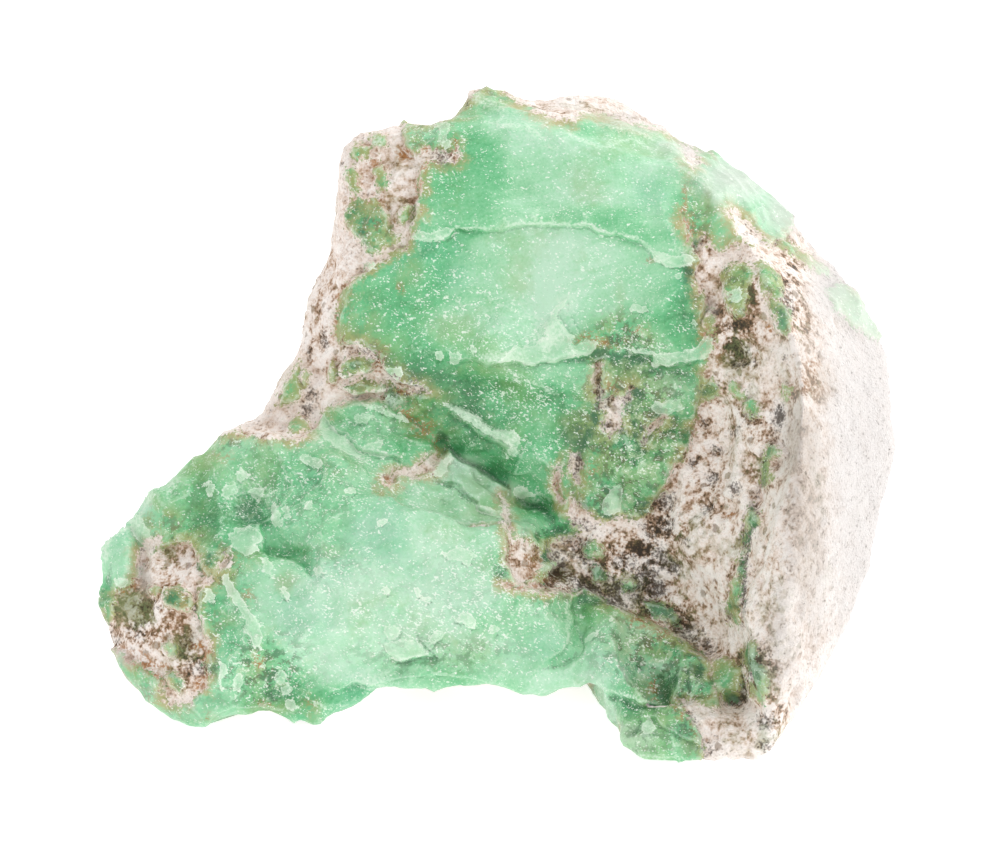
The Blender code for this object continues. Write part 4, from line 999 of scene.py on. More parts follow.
    def stained(self, ground: Ground, green: Node, variation: Variation) -> Node:
        """Stains the green olive in patches, and tan along the border of the host rock.

        Args:
            ground: What the finish starts from.
            green: The clean green.
            variation: The chance variation that all the finishes share.

        Returns:
            The stained green.
        """
        dapple, fleck, _ = variation
        mixed = ground.sum(ground.painted("patch"), dapple, self.patch_grain)
        mixed = ground.sum(mixed, fleck, self.patch_grain)
        patchy = ground.ease(mixed, self.patch_cover)
        border = ground.sum(ground.painted("rock_depth"), mixed, self.fringe_wander)
        green = ground.cover(green, self.fringe, ground.ease(border, self.fringe_cover))
        return ground.cover(green, self.olive, ground.product(ground.painted("olive"), patchy))

    def crumbled(self, ground: Ground, green: Node, variation: Variation) -> Node:
        """Breaks the green up into dark crumbs and pale meal, with rust in its cracks and shade between.

        Args:
            ground: What the finish starts from.
            green: The stained green.
            variation: The chance variation that all the finishes share.

        Returns:
            The crumbled green.
        """
        dapple, fleck, sugar = variation
        crumbs = ground.painted("crumbs")
        broken = ground.mottle(self.crumb_mm, 4.0)
        grainy = ground.product(broken, self.crumb_contrast)
        sugary = ground.sum(ground.sum(-0.5, sugar.first), fleck, self.crumb_fleck)
        mixed = ground.sum(grainy, sugary, self.crumb_sugar)
        brownish = ground.sum(dapple, ground.painted("olive"), self.olive_lean)
        crumb = ground.cover(self.crumb, self.stained_crumb, ground.ease(brownish, self.stained_cover))
        green = ground.cover(green, crumb, ground.product(crumbs, ground.ease(mixed, self.crumb_cover)))
        green = ground.cover(green, self.meal, ground.product(crumbs, ground.ease(mixed, self.meal_cover)))
        cracked = ground.ease(ground.sum(dapple, fleck), self.crack_cover)
        green = ground.cover(green, self.rust, ground.product(ground.painted("rust"), cracked))
        shadowed = ground.sum(ground.painted("dark"), fleck, self.shade_fleck)
        shadowed = ground.sum(shadowed, ground.product(crumbs, broken), self.shade_crumbs)
        return ground.cover(green, self.shade, ground.ease(shadowed, self.shade_cover))

    def worn(self, ground: Ground, green: Node, fleck: Node) -> Node:
        """Paints shade into hollows and highlights on proud edges, bleaches thin edges, and lays painted
        glare.

        Args:
            ground: What the finish starts from.
            green: The crumbled green.
            fleck: Cloudy variation as fine as shows.

        Returns:
            The worn green.
        """
        # Painted shade: the hollows are darkened.
        hollow = ground.sum(ground.painted("proud"), fleck, 1.0)
        green = ground.cover(green, self.shade, ground.ease(hollow, self.hollow_cover))
        # Milky where bleached, and painted highlights on lit lips and lower edges.
        milky = ground.sum(ground.painted("pale"), fleck, self.milk_fleck)
        green = ground.cover(green, self.milk, ground.ease(milky, self.milk_cover))
        # Painted highlight: proud edges are paled, and thin ones are bleached as well.
        edge = ground.sum(ground.painted("proud"), fleck, self.edge_fleck)
        green = ground.cover(green, self.milk, ground.ease(edge, self.edge_cover))
        # Painted glare: an even pale grey where strong light washes the stone out.
        share = ground.product(ground.painted("washout"), self.washout_share)
        return ground.cover(green, self.washout, share)

    def dusted(self, ground: Ground, green: Node, variation: Variation) -> Node:
        """Strews white crushed grains on the green, as drifts and as specks.

        Args:
            ground: What the finish starts from.
            green: The worn green.
            variation: The chance variation that all the finishes share.

        Returns:
            The dusty green.
        """
        dapple, fleck, _ = variation
        density = ground.painted("dust")
        strewn = self.drawn_out(ground, -self.flow_turn, self.dust_stretch)
        drifts = ground.sum(ground.mottle(self.grit_mm, 1.0, strewn), dapple, self.drift_dapple)
        drifts = ground.sum(drifts, density, self.drift_density)
        green = ground.cover(green, self.dust, ground.ease(drifts, self.drift_cover))
        spread = ground.sum(self.fewest_specks, density, self.more_specks)
        grains = self.specks(ground, ground.speckle(self.dust_mm, strewn), fleck, spread)
        return ground.cover(green, self.dust, ground.product(grains, self.speck_cover))

    def colour(self, ground: Ground, variation: Variation) -> Node:
        """The green stone's colour, with stains, crumbs, dust, milky edges, painted shade, highlights and
        glare.

        Args:
            ground: What the finish starts from.
            variation: The chance variation that all the finishes share.

        Returns:
            The finished colour.
        """
        green = self.body(ground, variation)
        green = self.stained(ground, green, variation)
        green = self.crumbled(ground, green, variation)
        green = self.worn(ground, green, variation.fleck)
        return self.dusted(ground, green, variation)


@dataclass(frozen=True)
class SandyRock:
    """The host rock, a sandstone worn by the weather, of pale quartz sugar with iron-stained and dark grains.

    Every grain turns its own way, so it is dull and looks like coarse sugar, pinkish where clean and brown
    where iron has soaked in. Its grains are about 0.15 mm, just coarse enough to show.
    """

    grains: tuple[tuple[float, str], ...] = (
        (0.0, "f3ebe5"),
        (0.25, "ecdfd6"),
        (0.42, "dac7b8"),
        (0.56, "b3967f"),
        (0.7, "876b50"),
        (0.84, "64523b"),
        (1.0, "463a2a"),
    )
    moss: str = "7c8c5c"
    rust: str = "b07a48"
    shade: str = "30271d"
    olive_spot: str = "82774c"
    brown_spot: str = "785a42"
    # Painted glare: an even pale grey, sandier where brown, where strong light washes the rock out.
    washout: str = "cecac8"
    washout_sand: str = "aea092"
    grain_mm: float = 0.15
    spot_mm: float = 0.7
    # How far each kind of variation takes a grain from the mean stain.
    grain_sway: float = 0.7
    patch_sway: float = 0.8
    dapple_sway: float = 3.4
    fleck_sway: float = 0.6
    proud_sway: float = -0.35
    # Clean rock's stain and contrast, and what brown rock has more of both.
    clean_stain: float = 0.19
    brown_stain: float = 0.34
    clean_contrast: float = 0.24
    brown_contrast: float = 0.44
    # Larger spots: their least radius and what chance adds to it, in spacings, and how many there are.
    spot_least: float = 0.1
    spot_more: float = 0.32
    spot_dapple: float = 0.5
    spot_fleck: float = 0.3
    spot_edge: Ramp = Ramp(-0.1, 0.12, 0.6)
    clean_spots: float = 0.08
    brown_spots: float = 0.55
    moss_dapple: float = 3.0
    moss_olive: float = 1.2
    moss_cover: Ramp = Ramp(0.3, 1.3, 0.75)
    clean_moss: float = 0.2
    brown_moss: float = 0.8
    crack_cover: Ramp = Ramp(-0.1, 0.12)
    washout_share: float = 0.88
    shade_dapple: float = 1.3
    shade_fleck: float = 1.8
    shade_cover: Ramp = Ramp(0.15, 1.0, 0.85)

    def sugar(self, ground: Ground, variation: Variation, brown: Socket) -> Node:
        """The clean and the brown sugar's colour, grain by grain.

        Args:
            ground: What the finish starts from.
            variation: The chance variation that all the finishes share.
            brown: How much of the sugar is brown.

        Returns:
            The sugar's colour.
        """
        dapple, fleck, sugar = variation
        varied = ground.sum(-0.5 * self.grain_sway, sugar.first, self.grain_sway)
        varied = ground.sum(varied, ground.painted("patch"), self.patch_sway)
        varied = ground.sum(ground.sum(varied, dapple, self.dapple_sway), fleck, self.fleck_sway)
        varied = ground.sum(varied, ground.painted("proud_wide"), self.proud_sway)
        contrast = ground.sum(self.clean_contrast, brown, self.brown_contrast)
        mean = ground.sum(self.clean_stain, brown, self.brown_stain)
        stain = ground.sum(mean, ground.product(varied, contrast))
        return add_node(ground.tree, "ShaderNodeValToRGB", {}, {0: stain}, self.grains)

    def spotted(self, ground: Ground, rock: Node, variation: Variation, brown: Socket) -> Node:
        """Scatters olive and brown spots on the sugar.

        Args:
            ground: What the finish starts from.
            rock: The sugar's colour.
            variation: The chance variation that all the finishes share.
            brown: How much of the sugar is brown.

        Returns:
            The spotted sugar.
        """
        dapple, fleck, _ = variation
        spots = ground.speckle(self.spot_mm)
        radius = ground.sum(self.spot_least, spots.second, self.spot_more)
        inside = ground.sum(ground.sum(radius, spots.away, -1.0), dapple, self.spot_dapple)
        spot = ground.ease(ground.sum(inside, fleck, self.spot_fleck), self.spot_edge)
        density = ground.sum(self.clean_spots, brown, self.brown_spots)
        spot = ground.product(spot, ground.below(spots.first, density))
        return ground.cover(rock, ground.cover(self.olive_spot, self.brown_spot, spots.third), spot)

    def colour(self, ground: Ground, variation: Variation) -> Node:
        """The sugar's colour, with brown, mossy, rusty and dark grains, painted shade, and an even grey as
        painted glare.

        Args:
            ground: What the finish starts from.
            variation: The chance variation that all the finishes share.

        Returns:
            The finished colour.
        """
        dapple, fleck, _ = variation
        brown = ground.painted("brown")
        rock = self.spotted(ground, self.sugar(ground, variation, brown), variation, brown)
        clouded = ground.sum(ground.painted("cloud"), dapple, self.moss_dapple)
        mossy = ground.ease(ground.sum(clouded, ground.painted("olive"), self.moss_olive), self.moss_cover)
        share = ground.product(mossy, ground.sum(self.clean_moss, brown, self.brown_moss))
        rock = ground.cover(rock, self.moss, share)
        cracked = ground.ease(ground.sum(dapple, fleck), self.crack_cover)
        rock = ground.cover(rock, self.rust, ground.product(ground.painted("rust"), cracked))
        # Painted glare, as on the green stone.
        washout = ground.cover(self.washout, self.washout_sand, brown)
        share = ground.product(ground.painted("washout"), self.washout_share)
        rock = ground.cover(rock, washout, share)
        dark = ground.sum(ground.painted("dark"), dapple, self.shade_dapple)
        dark = ground.sum(dark, fleck, self.shade_fleck)
        return ground.cover(rock, self.shade, ground.ease(dark, self.shade_cover))


@dataclass(frozen=True)
class CrushedFlake:
    """Variscite flakes that the blow lifted and crazed.

    Green still shows through them, but they are milky, and chalk white along their thin torn edges.
    """

    milk: str = "b9dcbc"
    chalk: str = "e2eedd"
    chip_mm: float = 0.4
    # Small chips by chance: how far below the skin they start, and how much crumbs and dust raise them.
    chip_sink: float = -0.2
    chip_crumbs: float = 0.05
    chip_dust: float = 0.04
    edge_wander: float = 0.6
    edge_fleck: float = 0.4
    inside_ramp: Ramp = Ramp(-0.03, 0.04)
    cloud_grain: float = 2.0
    cloud_ramp: Ramp = Ramp(-0.5, 0.8)
    torn_fleck: float = 0.2
    torn_ramp: Ramp = Ramp(0.13, 0.02)
    cloud_chalk: float = 0.6
    torn_chalk: float = 0.7
    # How thickly a flake hides the green, and what clouds and torn edges add to that.
    thickness: float = 0.4
    cloud_thickness: float = 0.25
    torn_thickness: float = 0.3

    def cover(self, ground: Ground, green: Node, variation: Variation) -> Node:
        """Lays the flakes on the green stone's colour.

        Args:
            ground: What the finish starts from.
            green: The green stone's colour.
            variation: The chance variation that all the finishes share.

        Returns:
            The green stone's colour with the flakes on it.
        """
        dapple, fleck, _ = variation
        chips = ground.sum(ground.mottle(self.chip_mm, 3.0), ground.painted("crumbs"), self.chip_crumbs)
        chips = ground.sum(ground.sum(chips, self.chip_sink), ground.painted("dust"), self.chip_dust)
        drawn = ground.painted("flake_depth")
        drawn = ground.sum(drawn, ground.sum(dapple, fleck, self.edge_fleck), self.edge_wander)
        depth = add_node(ground.tree, "ShaderNodeMath", {"operation": "MAXIMUM"}, {0: drawn, 1: chips})
        inside = ground.ease(depth, self.inside_ramp)
        clouds = ground.sum(ground.painted("patch"), dapple, self.cloud_grain)
        cloudy = ground.ease(ground.sum(clouds, fleck, self.cloud_grain), self.cloud_ramp)
        torn_edge = ground.ease(ground.sum(depth, fleck, self.torn_fleck), self.torn_ramp)
        chalky = ground.sum(ground.product(cloudy, self.cloud_chalk), torn_edge, self.torn_chalk)
        flake = ground.cover(self.milk, self.chalk, chalky)
        share = ground.sum(self.thickness, cloudy, self.cloud_thickness)
        share = ground.sum(share, torn_edge, self.torn_thickness)
        return ground.cover(green, flake, ground.product(inside, share))


@dataclass(frozen=True)
class BrokenVariscite:
    """The whole lump's material: waxy green, sandy rock and crushed flakes, each within its own borders."""

    name: str = "variscite_in_sandy_rock"
    green: WaxyVariscite = WaxyVariscite()
    rock: SandyRock = SandyRock()
    flake: CrushedFlake = CrushedFlake()
    # Variscite's index is 1.56 to 1.59, and quartz's 1.54.
    ior: float = 1.57
    green_roughness: float = 0.42
    rock_roughness: float = 0.93
    glow: float = 0.18
    glow_radius: tuple[float, float, float] = (0.7, 1.0, 0.75)
    glow_depth: float = 0.7 * MM
    green_grain_height: float = 0.035
    rock_grain_height: float = 0.16
    # The border between green and rock wanders with the fleck and the sugar, and is this soft, in mm.
    border_fleck: float = 0.6
    border_sugar: float = 0.25
    colour_border: Ramp = Ramp(-0.13, 0.13)
    grain_border: Ramp = Ramp(-0.1, 0.1)

    def make(self) -> bpy.types.Material:
        """Builds the material.

        Returns:
            A material that reads the skin's painted values.
        """
        material = bpy.data.materials.new(self.name)
        material.use_nodes = True
        tree = material.node_tree
        tree.nodes.clear()
        place = pick(add_node(tree, "ShaderNodeTexCoord").outputs, "Object")
        inputs = {"Vector": place, "Scale": 1 / MM}
        ground = Ground(tree, add_node(tree, "ShaderNodeVectorMath", {"operation": "SCALE"}, inputs))
        dapple = ground.mottle(self.green.dapple_mm, 2.0)
        fleck = ground.mottle(self.green.fleck_mm, 1.0)
        variation = Variation(dapple, fleck, ground.speckle(self.rock.grain_mm))
        ragged = ground.sum(dapple, fleck, self.border_fleck)
        ragged = ground.sum(ragged, ground.sum(-0.5, variation.sugar.third), self.border_sugar)
        rock = ground.ease(ground.sum(ground.painted("rock_depth"), ragged), self.colour_border)
        green = self.green.colour(ground, variation)
        colour = self.flake.cover(ground, green, variation)
        colour = ground.cover(colour, self.rock.colour(ground, variation), rock)
        roughness = ground.sum(self.green_roughness, rock, self.rock_roughness - self.green_roughness)
        coarse = ground.ease(ground.painted("rock_depth"), self.grain_border)
        grain = ground.sum(self.green_grain_height, coarse, self.rock_grain_height - self.green_grain_height)
        height = ground.product(fleck, grain)
        bump = add_node(tree, "ShaderNodeBump", {}, {"Strength": 1.0, "Distance": MM, "Height": height})
        inputs = {
            "Base Color": colour,
            "Roughness": roughness,
            "IOR": self.ior,
            "Normal": bump,
            "Subsurface Weight": ground.sum(self.glow, rock, -self.glow),
            "Subsurface Radius": self.glow_radius,
            "Subsurface Scale": self.glow_depth,
        }
        shader = add_node(tree, "ShaderNodeBsdfPrincipled", {"subsurface_method": "RANDOM_WALK"}, inputs)
        add_node(tree, "ShaderNodeOutputMaterial", {}, {"Surface": shader})
        return material


@dataclass(frozen=True)
class BacklitPaper:
    """White paper over a light table: matt, and lit from below, so the stone throws hardly a shadow on it."""

    name: str = "backlit_white_paper"
    colour: str = "e2e2e2"
    roughness: float = 0.95
    glow: float = 0.85

    def make(self) -> bpy.types.Material:
        """Builds the material.

        Returns:
            Matt white, and bright of itself.
        """
        material = bpy.data.materials.new(self.name)
        material.use_nodes = True
        tree = material.node_tree
        tree.nodes.clear()
        inputs = {
            "Base Color": self.colour,
            "Roughness": self.roughness,
            "Emission Color": self.colour,
            "Emission Strength": self.glow,
        }
        paper = add_node(tree, "ShaderNodeBsdfPrincipled", {}, inputs)
        add_node(tree, "ShaderNodeOutputMaterial", {}, {"Surface": paper})
        return material


# Scoops: how deep a bowl is and how far it leans.
BOWL_DEPTH = 0.7
BOWL_TILT = 0.9

# A place farther than this from every patch counts as no farther, in marks.
FARTHEST = 40.0

# A wash's rim is this hard, from 1 up. A stroke is followed over so many half widths, and at its ends its
# strength sinks to a share of itself over a share of its length.
OVAL_EDGE = 1.5
STROKE_REACH = 4.0
STROKE_END = 0.4
STROKE_FADE = 0.12

# How far washes of tone blend into one another, and how fast their say falls with distance.
TONE_BLEND = 0.35
TONE_FALL = -2.5

# A drawn step rises over this many millimetres to either side of its line.
STEP_RAMP = 0.09


class Chance(NamedTuple):
    """One draw of random forms: their width, which set of numbers it draws, and in how many layers."""

    size: float
    seed: int
    layers: int = 1


def cell_numbers(cell: np.ndarray, seed: int) -> np.ndarray:
    """A repeatable number from 0 to 1 for each whole-number lattice cell.

    Args:
        cell: Lattice cells, one row of three whole numbers each.
        seed: Which set of numbers to draw.

    Returns:
        One number a row.
    """
    x, y, z = (cell[:, axis].astype(np.uint32) for axis in range(3))
    mixed = x * np.uint32(374761393) + y * np.uint32(668265263) + z * np.uint32(2246822519)
    mixed = mixed + np.uint32(seed * 3266489917 % 2**32)
    mixed = (mixed ^ (mixed >> np.uint32(13))) * np.uint32(1274126177)
    mixed = (mixed ^ (mixed >> np.uint32(15))) * np.uint32(2246822519)
    return (mixed ^ (mixed >> np.uint32(16))).astype(np.float64) / 2**32


def cell_places(cell: np.ndarray, seed: int) -> np.ndarray:
    """A repeatable place in each lattice cell, drawn with three seeds in a row."""
    return np.stack([cell_numbers(cell, seed + axis) for axis in range(3)], axis=1)


def lumps(points: np.ndarray, chance: Chance) -> np.ndarray:
    """Smooth random lumps of about -1 to 1.

    Args:
        points: Places, one row of three each.
        chance: Which lumps to draw. Each layer is half as wide and half as strong as the last.

    Returns:
        One height a row.
    """
    total = np.zeros(len(points))
    strength = 1.0
    for layer in range(chance.layers):
        # The shift keeps the layers' lattices from meeting at the origin.
        scaled = points / (chance.size * 0.5**layer) + 31.7 * (layer + 1)
        cell = np.floor(scaled).astype(np.int64)
        part = scaled - cell
        eased = part * part * (3.0 - 2.0 * part)
        height = np.zeros(len(points))
        for corner in itertools.product((0, 1), repeat=3):
            weight = np.prod(np.where(np.array(corner), eased, 1.0 - eased), axis=1)
            height += weight * cell_numbers(cell + np.array(corner), chance.seed + layer)
        total += strength * (2.0 * height - 1.0)
        strength *= 0.5
    return total


def pebbles(points: np.ndarray, chance: Chance) -> tuple[np.ndarray, np.ndarray]:
    """Rounded pebbles packed through space.

    Args:
        points: Places, one row of three each.
        chance: Which pebbles to draw, a size apart.

    Returns:
        The distance to the nearest pebble's middle, in spacings, and that pebble's own number from 0 to 1.
    """
    scaled = points / chance.size
    cell = np.floor(scaled).astype(np.int64)
    nearest = np.full(len(points), np.inf)
    number = np.zeros(len(points))
    for step_to in itertools.product((-1, 0, 1), repeat=3):
        other = cell + np.array(step_to)
        away = np.linalg.norm(scaled - (other + cell_places(other, chance.seed)), axis=1)
        closer = away < nearest
        nearest = np.where(closer, away, nearest)
        number = np.where(closer, cell_numbers(other, chance.seed + 7), number)
    return nearest, number


def scoops(points: np.ndarray, chance: Chance) -> np.ndarray:
    """Shallow tilted bowls that meet in ridges, as chips knocked off a waxy stone leave.

    Args:
        points: Places, one row of three each.
        chance: Which bowls to draw, a size apart.

    Returns:
        One height a row, mostly between -0.4 and 0.4.
    """
    scaled = points / chance.size
    cell = np.floor(scaled).astype(np.int64)
    lowest = np.full(len(points), np.inf)
    for step_to in itertools.product((-1, 0, 1), repeat=3):
        other = cell + np.array(step_to)
        offset = scaled - (other + cell_places(other, chance.seed))
        tilt = cell_places(other, chance.seed + 3) - 0.5
        bowl = np.sum(offset * (BOWL_DEPTH * offset + BOWL_TILT * tilt), axis=1)
        lowest = np.minimum(lowest, bowl)
    return lowest


def chart_marks(points: np.ndarray) -> np.ndarray:
    """Where points of the stone lie on the broken face's chart, in marks.

    Args:
        points: Places in metres, one row of three each.

    Returns:
        Marks, one row of two a point.
    """
    offset = points - FACE_CENTRE
    nearness = VIEW_DISTANCE / (VIEW_DISTANCE - offset @ FACE_OUT)
    per_metre = MARKS_PER_MM / MM
    right = CHART_CENTRE[0] + per_metre * nearness * (offset @ FACE_ACROSS)
    down = CHART_CENTRE[1] - per_metre * nearness * (offset @ FACE_UP)
    return np.stack((right, down), axis=1)


@dataclass(frozen=True)
class Trace:
    """Where some points lie beside a line on the chart.

    Fields:
        away: Distance to the line, in marks.
        side: +1 to the right of someone who walks along it, -1 to the left.
        along: How far along the line, from 0 to 1.
    """

    away: np.ndarray
    side: np.ndarray
    along: np.ndarray

    def fade(self, share: float) -> np.ndarray:
        """1 along the line, eased down to 0 over that share of it at either end."""
        rise = Ramp(0.0, share)
        return rise.at(self.along) * rise.at(1.0 - self.along)


def trace(line: Patch, marks: np.ndarray) -> Trace:
    """Measures points against a line of straight pieces.

    Args:
        line: The line's points, in marks.
        marks: The points to measure, one row of two each.

    Returns:
        Their distances, sides and shares of the line's length.
    """
    corners = np.array(line, float)
    spans = np.diff(corners, axis=0)
    lengths = np.linalg.norm(spans, axis=1)
    starts = np.concatenate(([0.0], np.cumsum(lengths)))
    away = np.full(len(marks), np.inf)
    side = np.ones(len(marks))
    along = np.zeros(len(marks))
    for start, span, length, before in zip(corners[:-1], spans, lengths, starts[:-1]):
        offset = marks - start
        share = np.clip(offset @ span / length**2, 0.0, 1.0)
        gap = offset - share[:, None] * span
        distance = np.hypot(gap[:, 0], gap[:, 1])
        closer = distance < away
        away = np.where(closer, distance, away)
        turn = span[0] * gap[:, 1] - span[1] * gap[:, 0]
        side = np.where(closer, np.where(turn >= 0.0, 1.0, -1.0), side)
        along = np.where(closer, (before + share * length) / starts[-1], along)
    return Trace(away, side, along)


def near_box(corners: Patch, marks: np.ndarray, margin: float) -> np.ndarray:
    """Which marks lie within a margin of the upright box round some corners, by their places in the array.

    Args:
        corners: The points that the box goes round.
        marks: The points to look through, one row of two each.
        margin: How much wider than the box to look, in marks.

    Returns:
        The rows of those that lie within it.
    """
    box = np.array(corners, float)
    inside = (marks > box.min(axis=0) - margin) & (marks < box.max(axis=0) + margin)
    return np.flatnonzero(np.all(inside, axis=1))


def depth_inside(patch: Patch, marks: np.ndarray) -> np.ndarray:
    """How deep points lie inside a closed patch, in marks, and below zero outside it.

    Args:
        patch: The patch's corners in order.
        marks: The points to measure, one row of two each.

    Returns:
        One depth a row.
    """
    closed = patch + (patch[0],)
    crossings = np.zeros(len(marks), bool)
    for (x0, y0), (x1, y1) in zip(closed[:-1], closed[1:]):
        if y0 == y1:
            continue
        spans = (marks[:, 1] < y0) != (marks[:, 1] < y1)
        meets = x0 + (marks[:, 1] - y0) * (x1 - x0) / (y1 - y0)
        crossings ^= spans & (marks[:, 0] < meets)
    return np.where(crossings, 1.0, -1.0) * trace(closed, marks).away


def deepest_inside(patches: dict[str, Patch], marks: np.ndarray) -> np.ndarray:
    """How deep points lie inside the nearest of several patches, in marks, and down to -FARTHEST outside.

    Args:
        patches: The patches by name.
        marks: The points to measure, one row of two each.

    Returns:
        One depth a row.
    """
    deepest = np.full(len(marks), -FARTHEST)
    for patch in patches.values():
        near = near_box(patch, marks, FARTHEST)
        deepest[near] = np.maximum(deepest[near], depth_inside(patch, marks[near]))
    return deepest


def across_and_down(oval: Wash | Nudge, marks: np.ndarray) -> tuple[np.ndarray, np.ndarray]:
    """How far points lie to the right of an oval's centre and below it, in its own half widths."""
    return (marks[:, 0] - oval.right) / oval.half_width, (marks[:, 1] - oval.down) / oval.half_height


def oval_share(oval: Wash | Nudge, marks: np.ndarray) -> np.ndarray:
    """1 in the middle of a soft oval, falling to about a third at its rim and to nothing past it."""
    across, down = across_and_down(oval, marks)
    return np.exp(-(across**2 + down**2) ** OVAL_EDGE)


def strongest(ovals: Sequence[Wash], lines: Sequence[Stroke], marks: np.ndarray) -> np.ndarray:
    """The strongest of several washes and strokes at each point, 0 where there is none.

    Args:
        ovals: The washes.
        lines: The strokes.
        marks: The points, one row of two each.

    Returns:
        One strength a row.
    """
    strength = np.zeros(len(marks))
    for oval in ovals:
        strength = np.maximum(strength, oval.strength * oval_share(oval, marks))
    for line in lines:
        near = near_box(line.points, marks, STROKE_REACH * line.half_width)
        run = trace(line.points, marks[near])
        value = line.strength * np.exp(-((run.away / line.half_width) ** 2))
        value = value * (STROKE_END + (1.0 - STROKE_END) * run.fade(STROKE_FADE))
        strength[near] = np.maximum(strength[near], value)
    return strength


def mean_tone(ovals: Sequence[Wash], marks: np.ndarray) -> np.ndarray:
    """The washes' mean strength at each point, each counted by how close it is.

    Args:
        ovals: The washes.
        marks: The points, one row of two each.

    Returns:
        One strength a row.
    """
    total = np.zeros(len(marks))
    weights = np.zeros(len(marks))
    for oval in ovals:
        across, down = across_and_down(oval, marks)
        weight = (TONE_BLEND + across**2 + down**2) ** TONE_FALL
        total += weight * oval.strength
        weights += weight
    return total / weights


class Form(Enum):
    """How an edge shapes the stone beside it."""

    STEP = "step"
    RIDGE = "ridge"


class Relief(NamedTuple):
    """What one edge does to the surface, in millimetres.

    Left and right are those of someone who walks along the edge's points on the chart.
    """

    edge: str
    form: Form
    left: float
    right: float
    reach: float

    def height(self, run: Trace) -> np.ndarray:
        """How far it lifts the points beside its edge, in millimetres.

        Args:
            run: Where the points lie beside the edge.

        Returns:
            One height a point.
        """
        away = run.away / MARKS_PER_MM
        if self.form is Form.RIDGE:
            return self.left * np.exp(-((away / self.reach) ** 2))
        rightness = 0.5 + 0.5 * np.clip(run.side * away / STEP_RAMP, -1.0, 1.0)
        return (self.left + (self.right - self.left) * rightness) * np.exp(-away / self.reach)


def step(edge: str, left: float, right: float, reach: float) -> Relief:
    """An edge whose left side stands at one height and its right side at another."""
    return Relief(edge, Form.STEP, left, right, reach)


def ridge(edge: str, height: float, reach: float) -> Relief:
    """An edge that stands up as a ridge or, where its height is below zero, sinks as a groove."""
    return Relief(edge, Form.RIDGE, height, height, reach)


# How each drawn edge shapes the stone, in millimetres: a step's left height, its right height and its
# reach, or a ridge's height and its reach.
RELIEFS = (
    step("panel_step", 0.08, -0.38, 3.0),
    step("ledge_foot", 0.4, -0.25, 2.0),
    step("ledge_front", -0.15, 0.3, 1.2),
    ridge("curved_ridge", 0.4, 1.6),
    step("far_ledge", 0.35, -0.2, 1.6),
    step("flake_foot", 0.25, -0.35, 1.2),
    step("flake_head", -0.05, 0.2, 1.0),
    step("slab_edge", -1.1, 0.45, 1.3),
    step("slab_foot", 0.25, -0.2, 1.0),
    ridge("trough_foot", -0.6, 0.6),
    step("crescent_rim", -0.38, 0.15, 1.3),
    step("crescent_head", -0.5, 0.1, 1.2),
    step("tongue_edge", -0.3, 0.15, 1.2),
    step("tongue_right", 0.15, -0.3, 1.2),
    step("lobe_step", 0.15, -0.55, 1.4),
    step("lobe_layer", -0.05, -0.3, 1.0),
    step("lobe_layer_b", 0.1, -0.3, 1.0),
    ridge("valley_floor", -0.8, 1.3),
    ridge("slit", -0.9, 0.4),
    step("strip_step", 0.1, -0.4, 1.0),
    step("crown_step", 0.05, -0.3, 0.9),
    step("oval_edge", 0.2, -0.3, 0.8),
    step("oval_top", -0.2, 0.15, 0.8),
    step("foot_shelf_a", 0.2, -0.4, 1.0),
    step("foot_shelf_b", 0.1, -0.3, 1.0),
    step("foot_shelf_c", 0.05, -0.2, 0.6),
    ridge("facet_ridge", 0.5, 1.1),
    ridge("facet_left", 0.3, 0.9),
    step("dark_spot_edge", 0.05, -0.35, 0.7),
    step("sand_edge_left", 0.1, -0.25, 0.8),
    ridge("lump_edge", -0.9, 0.45),
    step("foot_right_lip", -0.35, 0.1, 1.0),
    step("east_edge", -0.2, 0.05, 0.7),
    step("east_edge_b", -0.2, 0.05, 0.7),
    ridge("ridge_line", 0.25, 0.8),
)

# Small swellings and hollows, by how far their middles lift, in millimetres.
LIFTS = washes(
    (122, 562, 19, 26, 0.7), (375, 430, 40, 20, 0.2), (470, 402, 46, 22, -0.3), (630, 650, 36, 34, 0.3),
    (655, 742, 36, 20, 0.25), (664, 690, 12, 18, -0.4), (650, 482, 16, 17, 0.45), (675, 446, 12, 18, 0.4),
    (672, 396, 22, 16, 0.3), (620, 452, 16, 20, 0.3), (595, 430, 14, 22, 0.25), (585, 490, 14, 22, 0.35),
    (612, 500, 10, 14, 0.25), (640, 372, 30, 10, -0.25), (735, 295, 15, 26, 0.35), (780, 312, 12, 22, 0.35),
    (735, 350, 18, 16, -0.5), (755, 672, 12, 30, 0.4), (140, 612, 18, 22, -0.3), (184, 640, 12, 22, -0.25),
    (250, 513, 18, 12, -0.3), (284, 545, 26, 9, -0.1), (655, 588, 20, 14, -0.5), (690, 626, 20, 10, -0.4),
    (592, 572, 16, 12, 0.3), (628, 586, 12, 9, 0.25), (735, 702, 14, 8, -0.5), (725, 676, 14, 16, 0.25),
    (764, 285, 10, 16, 0.25), (372, 228, 20, 24, 0.25), (421, 137, 18, 15, 0.2), (556, 576, 26, 9, -0.5),
    (540, 506, 20, 8, -0.5), (400, 396, 14, 10, -0.4), (424, 424, 18, 16, -0.3), (290, 385, 12, 22, 0.3),
    (204, 500, 14, 44, -0.25), (315, 345, 9, 30, -0.3), (560, 340, 26, 20, 0.2),
)

